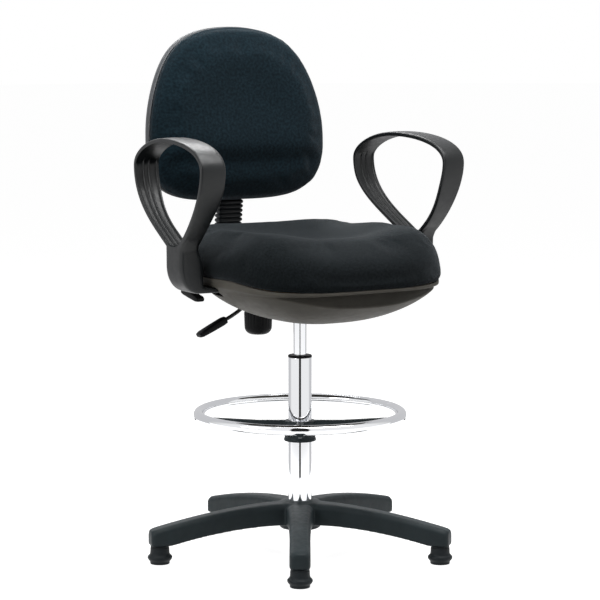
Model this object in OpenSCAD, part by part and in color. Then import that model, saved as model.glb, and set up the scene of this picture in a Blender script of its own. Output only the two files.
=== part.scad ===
// Drafting chair: a five-leg base on glides, a gas lift with a foot ring, a fixed seat with
// loop arms, and a backrest on a J-shaped upright. Millimetres, +Z up, the sitter faces -Y.

/* [Star base] */
// Radius of the circle through the five feet
foot_circle_r = 311; // [250:5:340]
// Turn of the base about the column, away from the seat's front
base_turn = -33; // [-36:1:36]
// Width of a leg
leg_w = 43; // [38:1:50]
// Width of the flat along the top of a leg
leg_flat_w = 27; // [20:1:34]
// Drop of the bevel beside that flat
leg_bevel = 8; // [4:1:12]
// Height of a leg at its foot
leg_end_h = 34; // [28:1:40]
// Fullness of a leg's top, where 1 is straight
leg_top_arch = 1.7; // [1:0.1:2.4]
// Arch of a leg's underside, where 1 is straight
leg_low_arch = 2; // [1:0.1:2.6]
// Wall of the moulded base
base_wall = 4; // [3:0.5:6]
// Radius of the hub
hub_r = 44; // [38:1:52]
// Height of the hub's top above the floor
hub_top_z = 119; // [104:1:126]
// Height of the hub's bottom above the floor
hub_bottom_z = 58; // [50:1:62]

/* [Glides] */
// Height of a glide
glide_h = 39; // [32:1:48]
// Radius of a glide's neck
glide_neck_r = 20.5; // [16:0.5:24]
// Radius of a glide's lip
glide_lip_r = 26; // [25:0.5:30]
// Radius of the steel stem in a glide
stem_r = 5.5; // [4:0.5:7]
// Depth of the stem in the leg
stem_depth = 24; // [16:1:28]

/* [Column] */
// Radius of the outer tube
tube_r = 25; // [22:0.5:28]
// Wall of the outer tube
tube_wall = 2; // [1.5:0.25:3]
// Height of the tube's top above the floor
tube_top_z = 427; // [380:1:460]
// Taper of the tube's lower end, off its radius
tube_taper = 0.8; // [0.4:0.1:1.2]
// Thickness of the black collar on the tube
collar_h = 5; // [3:0.5:8]
// Length of the guide bush inside the tube
bush_l = 120; // [80:5:150]
// Radius of the gas cylinder
lift_r = 14; // [13:0.5:15]
// Wall of the gas cylinder
lift_wall = 2; // [1.5:0.25:3]
// Height of the cylinder's lower end above the floor
lift_bottom_z = 165; // [155:1:190]
// Radius of the piston rod
rod_r = 5; // [4:0.5:6]
// Height of the piston above the floor
piston_z = 335; // [320:1:360]
// Radius of a ball in the thrust bearing
ball_r = 2; // [1.5:0.25:2.5]
// Number of balls in the thrust bearing
ball_count = 12; // [8:1:14]

/* [Foot ring] */
// Outer radius of the ring
ring_r = 227.5; // [200:0.5:240]
// Radius of the ring's tube
ring_tube_r = 10.5; // [8:0.5:13]
// Wall of the ring's tube
ring_wall = 1.5; // [1:0.25:2.5]
// Height of the ring's centre above the floor
ring_z = 305; // [285:1:320]
// Height of the ring's hub
ring_hub_h = 44; // [40:1:60]
// Drop from the ring's centre to the hub's top
ring_drop = 14; // [10:1:26]
// Radius of the ring's hub
ring_hub_r = 33; // [31:0.5:38]
// Width of a spoke
spoke_w = 15; // [10:1:20]
// Depth of a spoke at the hub
spoke_root_h = 30; // [22:1:36]
// Depth of a spoke at the ring
spoke_tip_h = 6; // [5:0.5:10]
// Radius of the ring's clamp knob
ring_knob_r = 12; // [9:0.5:15]

/* [Seat] */
// Width of the seat
seat_w = 500; // [460:5:520]
// Depth of the seat
seat_d = 480; // [440:5:520]
// Distance of the seat's middle in front of the column
seat_forward = 26; // [10:1:40]
// Squareness of the seat's outline
seat_square = 3.6; // [2.6:0.1:5]
// Height of the board's underside above the floor
board_z = 595; // [585:1:610]
// Thickness of the seat board
board_t = 12; // [10:0.5:15]
// Distance from the cushion's edge in to the board's edge
board_inset = 14; // [10:1:24]
// Thickness of the seat cushion at its middle
cushion_t = 96; // [70:1:110]
// Rise of the cushion's top from front to rear
cushion_rise = 17; // [0:1:26]
// Height of the pan's rim
pan_rim_h = 13; // [12.5:0.5:16]
// Wall of the pan
pan_wall = 3; // [2:0.5:4]
// Half width of the pan's belly
belly_w = 212; // [190:1:220]
// Half length of the pan's belly
belly_l = 182; // [160:1:186]
// Distance of the belly's middle in front of the column
belly_forward = 80; // [70:1:84]
// Depth of the belly below the rim
belly_h = 72; // [68:1:80]

/* [Mechanism] */
// Thickness of the pressed steel
steel_t = 3; // [2:0.5:4]
// Length of the mounting plate
plate_l = 225; // [205:5:240]
// Width of the mounting plate
plate_w = 150; // [140:2:170]
// Bolt spacing across the seat
bolt_span_x = 120; // [110:1:130]
// Bolt spacing along the seat
bolt_span_y = 160; // [140:1:170]
// Half the gap between the side walls
cheek_in = 33; // [31:0.5:36]
// Depth of the side walls
cheek_h = 57; // [54:1:60]
// Radius of the socket that holds the gas cylinder
socket_r = 18; // [17:0.5:21]
// Height of the gas cylinder's top below the board
lift_drop = 22; // [21:0.5:24]
// Distance of the back's pivot behind the column
pivot_y = 95; // [90:1:100]
// Distance of the back's pivot below the board
pivot_drop = 42; // [40:1:44]
// Radius of the pivot pin
pivot_r = 6; // [5:0.5:7]

/* [Levers and knob] */
// Radius of the lever rods
lever_r = 4; // [3:0.5:4.5]
// Distance of the height lever's fulcrum from the column
fulcrum_x = 44; // [42:0.5:48]
// Reach of the height lever's bend past its fulcrum
lever_bend = 56; // [48:1:60]
// Length of the height lever's rod inside its paddle
lever_grip = 16; // [12:1:24]
// Length of the height lever's paddle
paddle_l = 72; // [60:1:84]
// Width of the paddles
paddle_w = 22; // [18:1:26]
// Thickness of the paddles
paddle_t = 17; // [12:0.5:20]
// Reach of the angle lever from the column
angle_reach = 212; // [190:1:220]
// Distance of the angle lever's rod behind the back's pivot
angle_behind = 23; // [22:0.5:26]
// Radius of the fluted knob
knob_r = 31; // [24:0.5:32]
// Height of the fluted knob
knob_h = 53; // [48:1:64]
// Distance of the fluted knob behind the column
knob_y = 168; // [155:1:172]
// Number of flutes round the knob
knob_flutes = 24; // [12:1:30]

/* [Arms] */
// Width of an arm's band
arm_w = 55; // [46:1:60]
// Gap between the two arms at the seat
arm_gap = 525; // [524:1:560]
// Turn of each arm, with the front outwards
arm_toe = 3.8; // [0:0.2:5]
// Length of the loop
loop_l = 321; // [260:1:330]
// Height of the loop
loop_h = 228; // [200:1:250]
// Height of the loop's underside above the board
loop_lift = 77; // [66:1:96]
// Thickness of the band
band_t = 10; // [8:0.5:14]
// Length of the foot below the loop
arm_foot_l = 75; // [60:1:84]
// Distance of the arm's foot in front of the column
arm_forward = 12; // [6:1:20]
// Width of the bend at the bottom of an arm's foot
foot_round = 46; // [30:1:50]
// Height of the bend at the bottom of an arm's foot
foot_drop = 57; // [40:1:60]
// Thickness of the flange under the board
flange_t = 12; // [8:0.5:12.3]
// Reach of the flange under the board
flange_reach = 138; // [120:1:145]

/* [Backrest] */
// Width of the backrest
back_w = 448; // [380:2:460]
// Height of the backrest
back_h = 384; // [340:2:420]
// Height of the backrest's lower edge above the board
back_lift = 148; // [144:1:175]
// Distance of the backrest's front edge behind the column
back_y = 232; // [226:1:238]
// Thickness of the foam at the backrest's edge
back_foam_t = 18; // [15:0.5:22]
// How far the backrest's top curves to the rear
back_bow = 28; // [0:1:30]
// Crown of the backrest's face
back_crown = 24; // [14:1:32]
// Thickness of the backrest's board
back_board_t = 10; // [8:0.5:11]
// Depth of the rear shell
shell_d = 44; // [43:1:56]
// Wall of the rear shell
shell_wall = 3; // [2:0.5:4]
// How far the board stays inside the backrest's outline
back_board_inset = 9; // [8:0.5:12]
// Width of the shell's seat on the board's edge
shell_seat = 2; // [1.5:0.5:4]
// Height of the bracket's middle above the backrest's lower edge
bracket_lift = 82; // [78:1:100]
// Height of the bracket's sleeve
bracket_h = 76; // [70:1:84]
// Reach of each of the bracket's lugs
bracket_lug = 26; // [24:1:34]

/* [Back upright] */
// Width of the flat bar
bar_w = 45; // [38:1:50]
// Thickness of the flat bar
bar_t = 8; // [6:0.5:9]
// Distance of the bar's run below the board
bar_drop = 60; // [58:0.5:62]
// Inside radius of the bar's bend
bar_bend_r = 56; // [40:1:60]
// Lean of the upright towards the sitter
bar_lean = 7; // [5:0.5:8]
// Distance of the upright behind the column at the backrest's lower edge
upright_y = 287; // [284:0.5:290]
// Width of the bellows
bellows_w = 60; // [56:1:66]
// Depth of the bellows
bellows_d = 26; // [22:0.5:28]
// Pitch of the bellows' ribs
rib_pitch = 10.5; // [8:0.5:14]

/* [Fits] */
// Gap round a shaft that turns or slides
running_gap = 0.06; // [0.02:0.01:0.1]
// Gap between pieces that are fixed together
fixed_gap = 0.05; // [0.02:0.01:0.2]
// Gap between soft or moulded pieces
soft_gap = 0.4; // [0.3:0.1:1]
// Radius of an M6 thread
m6_r = 3; // [3:0.1:3.5]

/* [Hidden] */

$fn = 48;
leg_count = 5;
small = 0.01;

// Heights of the base.
leg_end_bottom = glide_h;
leg_end_top = glide_h + leg_end_h;
leg_root_bottom = leg_end_bottom + 30;
leg_root_top = hub_top_z - 4;
leg_root_w = leg_w + 14;
leg_tip_r = foot_circle_r + leg_w / 2;
leg_arch_r = foot_circle_r - glide_neck_r;
hub_rim_r = tube_r + 5.5;

// Column.
tube_in_r = tube_r - tube_wall;
tube_bottom_z = hub_bottom_z + 4;
tube_foot_h = 5;
race_h = 2;
race_r = tube_in_r - 5;
ball_circle_r = (race_r + rod_r + 2) / 2;
race_low_z = tube_bottom_z + tube_foot_h;
ball_z = race_low_z + race_h + ball_r + running_gap;
race_high_z = ball_z + ball_r + running_gap;
rod_shoulder_z = race_high_z + race_h;
rod_end_z = tube_bottom_z - 8;
clip_h = 1.6;
collar_top_z = tube_top_z + collar_h;
lift_in_r = lift_r - lift_wall;
lift_top_z = board_z - lift_drop;
lift_taper_h = 54;
lift_taper = 1;
taper_z = lift_top_z - lift_taper_h;
gland_h = 24;
lip_h = 2;
piston_h = 15;
valve_h = 30;
valve_pin_r = 3;
valve_pin_up = 4;

// Foot ring.
ring_turn = base_turn;
ring_circle_r = ring_r - ring_tube_r;
ring_hub_top = ring_z - ring_drop;
ring_hub_bottom = ring_hub_top - ring_hub_h;
ring_bore_r = tube_r + running_gap;
ring_under_z = ring_z - ring_tube_r;
knob_turn = ring_turn + 45;
ring_head_r = 4;
spoke_tip_z = ring_under_z + 2.5;
ring_head_z = spoke_tip_z - spoke_tip_h + 0.5;
ring_clamp_z = ring_hub_top - ring_hub_h / 2;
ring_boss_r = 10;
ring_boss_reach = ring_hub_r + 7;
ring_stud_r = 4;

// Seat.
arm_bolt_places = [[16, -24], [16, 24], [32, 0]];
plate_z = board_z - steel_t;
pan_floor_z = board_z - pan_rim_h;
lever_z = lift_top_z + valve_pin_up + lever_r + 0.5;
pan_hole_r = socket_r + 4;
lever_droop = 24;
lever_exit_x = 150;
paddle_root = [-lever_exit_x - 35, lever_z - 62];
plate_front = -plate_l / 2 + 17;
bolt_mid_y = 5;
cheek_z = plate_z - cheek_h + steel_t;
socket_z = taper_z + 2;

// Back.
pivot_z = board_z - pivot_drop;
angle_y = pivot_y + angle_behind;
angle_z = pivot_z + 18;
bar_z = board_z - bar_drop;
bar_inner_y = pivot_y + 12;
sleeve_wall = 3;
sleeve_front = pivot_y + 17;
sleeve_rear = knob_y + knob_r + 2;
ear_r = 12;
ear_in = bar_w / 2 + sleeve_wall - 1;
back_z = board_z + back_lift;
back_mid_z = back_z + back_h * 0.36;
lumbar_z = back_z + back_h * 0.31;
bar_tan = tan(bar_lean);
bar_top_z = back_z + 142;
knob_top_z = bar_z - bar_t / 2 - sleeve_wall - 17;
knob_bottom_z = knob_top_z - knob_h;
board_back_y = back_y + back_foam_t;
shell_y = board_back_y + back_board_t;
bellows_bottom_z = bar_z + bar_bend_r + bar_t + 12;
bellows_top_z = back_z + 8;

// ---- Helpers ----

// A point between a and b.
function mix(a, b, t) = a + (b - a) * t;

// Points of a cubic curve from a to d, without its last point.
function curve(a, b, c, d, steps) = [for (k = [0:steps - 1])
    let (t = k / steps, u = 1 - t)
    u * u * u * a + 3 * u * u * t * b + 3 * u * t * t * c + t * t * t * d];

// A superellipse, counter-clockwise.
function rounded(a, b, n, count) = [for (k = [0:count - 1])
    let (w = 360 * k / count, c = cos(w), s = sin(w))
    [a * sign(c) * pow(abs(c), 2 / n), b * sign(s) * pow(abs(s), 2 / n)]];

// Each point of a loop moved inwards by d along its normal.
function inward(points, d) = [for (k = [0:len(points) - 1])
    let (n = len(points), p = points[(k + n - 1) % n], q = points[(k + 1) % n], t = q - p)
    points[k] + d * [-t[1], t[0]] / norm(t)];

// A closed solid through rings of points, each ring counter-clockwise seen from the last one.
module loft(rings) {
    count = len(rings[0]);
    last = len(rings) - 1;
    sides = [for (k = [0:last - 1], i = [0:count - 1])
        let (j = (i + 1) % count, a = k * count, b = a + count)
        each [[a + i, b + i, b + j], [a + i, b + j, a + j]]];
    start_cap = [for (i = [0:count - 1]) i];
    end_cap = [for (i = [count - 1:-1:0]) last * count + i];
    polyhedron(points = [for (ring = rings) each ring], faces = concat(sides, [start_cap, end_cap]));
}

// A round bar bent along a path in the XZ plane, its ends cut square to the path.
module bent_bar(path, r, sides) {
    last = len(path) - 1;
    loft([for (k = [0:last])
        let (a = path[max(k - 1, 0)], b = path[min(k + 1, last)], t = (b - a) / norm(b - a))
        [for (i = [0:sides - 1])
            let (w = 360 * i / sides)
            [path[k][0] - t[1] * r * cos(w), r * sin(w), path[k][1] + t[0] * r * cos(w)]]]);
}

// A flat strip of thickness t along a path, as an outline.
function strip(path, t) =
    let (last = len(path) - 1,
        side = [for (k = [0:last])
            let (a = path[max(k - 1, 0)], b = path[min(k + 1, last)], d = (b - a) / norm(b - a))
            t / 2 * [-d[1], d[0]]])
    concat([for (k = [0:last]) path[k] - side[k]], [for (k = [last:-1:0]) path[k] + side[k]]);

// Stands an outline of Y and Z up and gives it a width across X, centred.
module across(width) {
    translate([-width / 2, 0, 0])
        rotate([90, 0, 90])
            linear_extrude(height = width)
                children();
}

// A ring of metal or plastic.
module washer(r, bore_r, h) {
    difference() {
        cylinder(r = r, h = h);
        translate([0, 0, -1])
            cylinder(r = bore_r, h = h + 2);
    }
}

// A screw that points up, with its head's top face at z = 0.
module screw(head_r, head_h, shank_r, shank_l) {
    translate([0, 0, -head_h])
        cylinder(r = head_r, h = head_h);
    translate([0, 0, -small])
        cylinder(r = shank_r, h = shank_l + small);
}

// ---- Star base and glides ----

function leg_angle(k) = 270 + base_turn + k * 360 / leg_count;
function leg_share(r) = max(0, min(1, (r - hub_r) / (leg_tip_r - hub_r)));
function leg_top(r) = mix(leg_end_top, leg_root_top, 1 - pow(leg_share(r), leg_top_arch));

// The underside arches from the hub to the glide, and lies flat on the glide.
function leg_bottom(r) =
    let (share = max(0, min(1, (r - hub_r) / (leg_arch_r - hub_r))))
    mix(leg_root_bottom, leg_end_bottom, pow(share, leg_low_arch));
function leg_half(r) = leg_w / 2 + (leg_root_w - leg_w) / 2 * pow(1 - leg_share(r), 5);

// Six corners of a leg's section at r, with its sides drawn in by cut.
function leg_ring(r, cut, low, high) =
    let (w = leg_half(r) - cut, f = leg_flat_w / 2 * w / leg_half(r), b = leg_bevel)
    [[r, w, low], [r, w, high - b], [r, f, high], [r, -f, high], [r, -w, high - b], [r, -w, low]];

module leg() {
    steps = 10;
    round_r = 12;
    body_end = leg_tip_r - round_r;
    difference() {
        loft(concat(
            [for (k = [0:steps])
                let (r = mix(tube_r + 4, body_end, k / steps))
                leg_ring(r, 0, leg_bottom(r), leg_top(r))],
            [for (w = [30:20:90])
                let (r = body_end + round_r * sin(w))
                leg_ring(r, round_r * (1 - cos(w)) * 0.7, leg_bottom(r), leg_top(r))]));
        trough();
        translate([foot_circle_r, 0, leg_end_bottom - 1])
            cylinder(r = stem_r + fixed_gap, h = stem_depth + 2);
    }
}

// The hollow under a leg, open to the floor.
module trough() {
    steps = 8;
    from = hub_r + base_wall;
    to = foot_circle_r - stem_r - 10;
    loft([for (k = [0:steps])
        let (r = mix(from, to, k / steps))
        leg_ring(r, base_wall, leg_bottom(r) - 3, leg_top(r) - base_wall)]);
}

module star_base() {
    color([0.16, 0.19, 0.2])
        difference() {
            union() {
                translate([0, 0, hub_bottom_z])
                    cylinder(r = hub_r, h = leg_root_top - hub_bottom_z);
                translate([0, 0, hub_bottom_z])
                    cylinder(r = hub_rim_r, h = hub_top_z - hub_bottom_z);
                for (k = [0:leg_count - 1])
                    rotate(leg_angle(k))
                        leg();
            }
            translate([0, 0, hub_bottom_z - 1])
                cylinder(r1 = tube_low_r(-1) + fixed_gap, r2 = tube_r + fixed_gap,
                    h = hub_top_z - hub_bottom_z + 1);
            translate([0, 0, hub_top_z - small])
                cylinder(r = tube_r + fixed_gap, h = 2);
        }
}

// The tube's radius where its taper has run down to the hub's bottom, plus a height up.
function tube_low_r(up) = tube_r - tube_taper * (hub_top_z - hub_bottom_z - up)
    / (hub_top_z - hub_bottom_z);

module glide() {
    base_r = glide_lip_r - 4.5;
    lip_z = glide_h * 0.36;
    difference() {
        rotate_extrude()
            polygon(concat(
                [[0, 0], [base_r - 2, 0], [base_r, 2], [base_r, lip_z - 6.5]],
                [for (w = [-60:30:60]) [glide_lip_r - 5 + 5 * cos(w), lip_z + 6 * sin(w)]],
                [[glide_neck_r, lip_z + 8.5], [glide_neck_r, glide_h - 3.5],
                    [glide_neck_r - 1.5, glide_h - 3.5], [glide_neck_r - 1.5, glide_h - 2],
                    [glide_neck_r - 0.5, glide_h - 2], [glide_neck_r - 0.5, glide_h], [0, glide_h]]));
        translate([0, 0, glide_h / 3])
            cylinder(r = stem_r + fixed_gap, h = glide_h);
    }
}

module glide_at(k) {
    color([0.13, 0.15, 0.16])
        rotate(leg_angle(k))
            translate([foot_circle_r, 0, 0])
                glide();
}

module glide_stems() {
    color([0.7, 0.7, 0.72])
        for (k = [0:leg_count - 1])
            rotate(leg_angle(k))
                translate([foot_circle_r, 0, glide_h / 3])
                    cylinder(r = stem_r, h = glide_h * 2 / 3 + stem_depth);
}

// ---- Column and gas lift ----

module column_tube() {
    color([0.82, 0.83, 0.85])
        rotate_extrude()
            polygon([[tube_in_r, tube_bottom_z], [tube_low_r(tube_bottom_z - hub_bottom_z), tube_bottom_z],
                [tube_r, hub_top_z], [tube_r, tube_top_z - 1], [tube_r - 1, tube_top_z],
                [tube_in_r, tube_top_z]]);
}

module tube_foot() {
    color([0.55, 0.55, 0.57])
        translate([0, 0, tube_bottom_z])
            washer(tube_in_r - fixed_gap, rod_r + running_gap, tube_foot_h);
}

module thrust_race_lower() {
    color([0.7, 0.7, 0.72])
        translate([0, 0, race_low_z])
            washer(race_r, rod_r + running_gap, race_h);
}

module thrust_balls() {
    color([0.8, 0.8, 0.82])
        for (k = [0:ball_count - 1])
            rotate(k * 360 / ball_count)
                translate([ball_circle_r, 0, ball_z])
                    sphere(r = ball_r);
}

module thrust_race_upper() {
    color([0.7, 0.7, 0.72])
        translate([0, 0, race_high_z])
            washer(race_r, rod_r + fixed_gap, race_h);
}

module guide_bush() {
    color([0.06, 0.06, 0.07])
        rotate_extrude()
            polygon([[lift_r + running_gap, tube_top_z - bush_l],
                [tube_in_r - fixed_gap, tube_top_z - bush_l],
                [tube_in_r - fixed_gap, tube_top_z], [tube_r + 0.5, tube_top_z],
                [tube_r + 0.5, collar_top_z - 1.5], [tube_r - 1, collar_top_z],
                [lift_r + running_gap, collar_top_z]]);
}

module piston_rod() {
    color([0.75, 0.75, 0.78])
        difference() {
            union() {
                translate([0, 0, rod_end_z])
                    cylinder(r = rod_r, h = piston_z + piston_h - rod_end_z);
                translate([0, 0, rod_shoulder_z])
                    cylinder(r = rod_r + 3, h = 6);
            }
            translate([0, 0, tube_bottom_z - 2 - clip_h])
                washer(rod_r + 2, rod_r - 1, clip_h);
        }
}

module piston_head() {
    color([0.3, 0.3, 0.32])
        translate([0, 0, piston_z])
            washer(lift_in_r - running_gap, rod_r + fixed_gap, piston_h);
}

module rod_clip() {
    color([0.35, 0.35, 0.37])
        translate([0, 0, tube_bottom_z - 2 - clip_h])
            difference() {
                washer(rod_r + 4, rod_r - 1 + fixed_gap, clip_h - fixed_gap);
                translate([0, -1.5, -1])
                    cube([rod_r + 6, 3, clip_h + 2]);
            }
}

module gas_cylinder() {
    color([0.82, 0.83, 0.85])
        rotate_extrude()
            polygon([[rod_r + 2, lift_bottom_z], [lift_r, lift_bottom_z], [lift_r, taper_z],
                [lift_r - lift_taper, lift_top_z], [lift_in_r - lift_taper, lift_top_z],
                [lift_in_r - lift_taper, lift_top_z - valve_h], [lift_in_r, lift_top_z - lift_taper_h],
                [lift_in_r, lift_bottom_z + lip_h], [rod_r + 2, lift_bottom_z + lip_h]]);
}

module cylinder_gland() {
    color([0.1, 0.1, 0.11])
        translate([0, 0, lift_bottom_z + lip_h])
            washer(lift_in_r - fixed_gap, rod_r + running_gap, gland_h);
}

module valve_body() {
    color([0.6, 0.6, 0.62])
        translate([0, 0, lift_top_z - valve_h])
            washer(lift_in_r - lift_taper - fixed_gap, valve_pin_r + running_gap, valve_h);
}

module valve_pin() {
    color([0.8, 0.75, 0.4])
        translate([0, 0, lift_top_z - valve_h + 6])
            cylinder(r = valve_pin_r, h = valve_h - 6 + valve_pin_up);
}

// ---- Mechanism ----

module mechanism_housing() {
    color([0.08, 0.08, 0.09])
        difference() {
            union() {
                // The mounting plate.
                translate([-plate_w / 2, plate_front, plate_z])
                    cube([plate_w, plate_l, steel_t]);
                // The side walls.
                for (side = [-1, 1])
                    translate([side * (cheek_in + steel_t / 2) - steel_t / 2, plate_front + 15, cheek_z])
                        cube([steel_t, plate_l - 15, plate_z - cheek_z + small]);
                // The web that joins the walls and the socket.
                translate([-cheek_in - small, -socket_r - 22, cheek_z])
                    cube([cheek_in * 2 + 2 * small, socket_r * 2 + 44, steel_t]);
                // The front wall.
                translate([-cheek_in - small, plate_front + 15, cheek_z])
                    cube([cheek_in * 2 + 2 * small, steel_t, plate_z - cheek_z + small]);
                // The socket of the gas cylinder.
                translate([0, 0, socket_z])
                    cylinder(r = socket_r, h = lift_top_z - 4 - socket_z);
                // The ears that hold the height lever.
                for (side = [-1, 1])
                    translate([-fulcrum_x - 7, side * (lever_r + 3.5) - steel_t / 2, lever_z - 7])
                        cube([fulcrum_x + 7 - cheek_in - small, steel_t, plate_z - lever_z + 7 + small]);
            }
            translate([0, 0, taper_z])
                cylinder(r1 = lift_r + fixed_gap, r2 = lift_r - lift_taper + fixed_gap, h = lift_taper_h);
            // Holes for the bolts.
            for (x = [-1, 1], y = [-1, 1])
                translate([x * bolt_span_x / 2, bolt_mid_y + y * bolt_span_y / 2, plate_z - 1])
                    cylinder(r = m6_r + 0.3, h = steel_t + 2);
            // The bore of the back's pivot pin.
            translate([-cheek_in - steel_t - 1, pivot_y, pivot_z])
                rotate([0, 90, 0])
                    cylinder(r = pivot_r + fixed_gap, h = 2 * (cheek_in + steel_t + 1));
            // The bore of the angle lever's rod.
            translate([-cheek_in - steel_t - 1, angle_y, angle_z])
                rotate([0, 90, 0])
                    cylinder(r = lever_r + running_gap, h = 2 * (cheek_in + steel_t + 1));
            // The window of the height lever.
            translate([-cheek_in - steel_t - 1, -lever_r - 1, lever_z - lever_r - 4])
                cube([steel_t + 2, 2 * lever_r + 2, 2 * lever_r + 8]);
            // The bore of the height lever's pivot pin.
            translate([-fulcrum_x, lever_r + 8, lever_z])
                rotate([90, 0, 0])
                    cylinder(r = lever_pin_r() + fixed_gap, h = 2 * (lever_r + 8));
        }
}

function lever_pin_r() = lever_r / 2;

module lever_pivot_pin() {
    color([0.6, 0.6, 0.62])
        translate([-fulcrum_x, lever_r + 6, lever_z])
            rotate([90, 0, 0])
                cylinder(r = lever_pin_r(), h = 2 * (lever_r + 6));
}

module tilt_pin() {
    color([0.6, 0.6, 0.62])
        translate([-cheek_in - steel_t - 4, pivot_y, pivot_z])
            rotate([0, 90, 0])
                cylinder(r = pivot_r, h = 2 * (cheek_in + steel_t + 4));
}

module pin_clips() {
    color([0.35, 0.35, 0.37])
        for (side = [-1, 1])
            translate([side * (cheek_in + steel_t + 1.6) - 0.75, pivot_y, pivot_z])
                rotate([0, 90, 0])
                    washer(pivot_r + 3, pivot_r + fixed_gap, 1.5);
}

// A torsion spring wound round the pivot pin.
module tilt_spring() {
    wire_r = 1.6;
    turns = 6;
    steps = 14;
    pitch = 2 * wire_r + 1.6;
    coil_r = pivot_r + wire_r + 1;
    last = turns * steps;
    color([0.3, 0.3, 0.33])
        translate([-pitch * turns / 2, pivot_y, pivot_z])
            loft([for (k = [last:-1:0])
                let (w = 360 * k / steps)
                [for (i = [0:5])
                    let (a = 60 * i, r = coil_r + wire_r * cos(a))
                    [pitch * k / steps + wire_r * sin(a), r * cos(w), r * sin(w)]]]);
}

module mechanism_bolts() {
    color([0.5, 0.5, 0.52])
        for (x = [-1, 1], y = [-1, 1])
            translate([x * bolt_span_x / 2, bolt_mid_y + y * bolt_span_y / 2, plate_z])
                screw(5, 4, m6_r, steel_t + board_t - 2);
}

// A T-nut's bore and flange, set in the board from above.
module tee_nut() {
    difference() {
        union() {
            translate([0, 0, 3])
                cylinder(r = m6_r + 1, h = board_t - 3);
            translate([0, 0, board_t - 1.5])
                cylinder(r = m6_r + 6, h = 1.5);
        }
        cylinder(r = m6_r + fixed_gap, h = board_t + 1);
    }
}

module mechanism_nuts() {
    color([0.65, 0.65, 0.6])
        for (x = [-1, 1], y = [-1, 1])
            translate([x * bolt_span_x / 2, bolt_mid_y + y * bolt_span_y / 2, board_z])
                tee_nut();
}

// ---- Seat ----

function seat_ring(inset, z, rise) = [
    for (p = rounded(seat_w / 2 - inset, seat_d / 2 - inset, seat_square, 48))
    [p[0], p[1] - seat_forward, z + rise * p[1] / seat_d]];

module seat_plan(inset) {
    translate([0, -seat_forward])
        polygon(rounded(seat_w / 2 - inset, seat_d / 2 - inset, seat_square, 48));
}

module seat_board() {
    color([0.72, 0.58, 0.4])
        translate([0, 0, board_z])
            difference() {
                linear_extrude(height = board_t)
                    seat_plan(board_inset);
                for (x = [-1, 1], y = [-1, 1])
                    translate([x * bolt_span_x / 2, bolt_mid_y + y * bolt_span_y / 2, 0])
                        nut_hole();
                for (side = [-1, 1])
                    at_arm_bolts(side)
                        nut_hole();
            }
}

// The stepped hole in the board that a T-nut fills.
module nut_hole() {
    translate([0, 0, -1])
        cylinder(r = m6_r + 1 + fixed_gap, h = board_t + 2);
    translate([0, 0, board_t - 1.5 - fixed_gap])
        cylinder(r = m6_r + 6 + fixed_gap, h = 3);
}

module seat_cushion() {
    low = board_z + 1;
    high = board_z + cushion_t;
    color([0.13, 0.15, 0.16])
        difference() {
            loft([seat_ring(7, low, 0), seat_ring(1, low + 10, 0), seat_ring(0, low + 30, 0),
                seat_ring(2, low + 48, cushion_rise * 0.4), seat_ring(9, low + 62, cushion_rise * 0.8),
                seat_ring(24, high - 12, cushion_rise), seat_ring(52, high - 4, cushion_rise),
                seat_ring(110, high, cushion_rise)]);
            translate([0, 0, board_z - 1])
                linear_extrude(height = board_t + 1 + soft_gap)
                    seat_plan(board_inset - soft_gap);
        }
}

// The belly's section at a share of its full width; inset draws in its walls and floor.
function belly_ring(share, inset, z) =
    [for (p = rounded((belly_w - inset) * share, (belly_l - inset) * share, 2.2, 40))
        [p[0], p[1] - belly_forward, z]];
function belly_z(share, inset) = pan_floor_z - (belly_h - inset) * pow(1 - pow(share, 2.2), 0.75);

module belly(inset, top) {
    shares = [0.2, 0.36, 0.5, 0.63, 0.75, 0.85, 0.92, 0.97, 1];
    loft(concat([for (share = shares) belly_ring(share, inset, belly_z(share, inset))],
        [belly_ring(1, inset, top)]));
}

module seat_pan() {
    wall = pan_wall;
    color([0.27, 0.265, 0.25])
        difference() {
            union() {
                loft([seat_ring(15, pan_floor_z, 0), seat_ring(9, pan_floor_z + 3, 0),
                    seat_ring(6, pan_floor_z + 6, 0), seat_ring(5, board_z, 0)]);
                belly(0, pan_floor_z + wall / 2);
            }
            translate([0, 0, pan_floor_z + wall])
                linear_extrude(height = pan_rim_h)
                    seat_plan(board_inset - 1);
            belly(wall, pan_floor_z + wall + 1);
            // The hole round the column.
            translate([0, 0, pan_floor_z - belly_h - 5])
                cylinder(r = pan_hole_r, h = belly_h);
            // The opening behind the mechanism.
            translate([-cheek_in - steel_t - 4, pivot_y - 56, pan_floor_z - belly_h - 5])
                cube([2 * (cheek_in + steel_t + 4), 116, belly_h + 5 + wall + 1]);
            // The slot of the height lever.
            translate([-lever_exit_x - 18, -lever_r - 3, pan_floor_z - belly_h])
                cube([42, 2 * lever_r + 6, belly_h]);
            // The notches of the arms' flanges.
            for (side = [-1, 1])
                at_arm(side)
                    translate([-flange_reach - 2, -arm_foot_l / 2 - 1.5, pan_floor_z - 1])
                        cube([flange_reach + 2, arm_foot_l + 3, pan_rim_h + 2]);
        }
}

// ---- Arms ----

// Puts local pieces at an arm: X out from its middle, Y to the rear.
module at_arm(side) {
    mirror([side < 0 ? 1 : 0, 0, 0])
        translate([arm_gap / 2 + arm_w / 2, -arm_forward, 0])
            rotate(arm_toe)
                children();
}

module at_arm_bolts(side) {
    for (p = arm_bolt_places)
        at_arm(side)
            translate([-flange_reach + p[0], p[1], 0])
                children();
}

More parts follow.
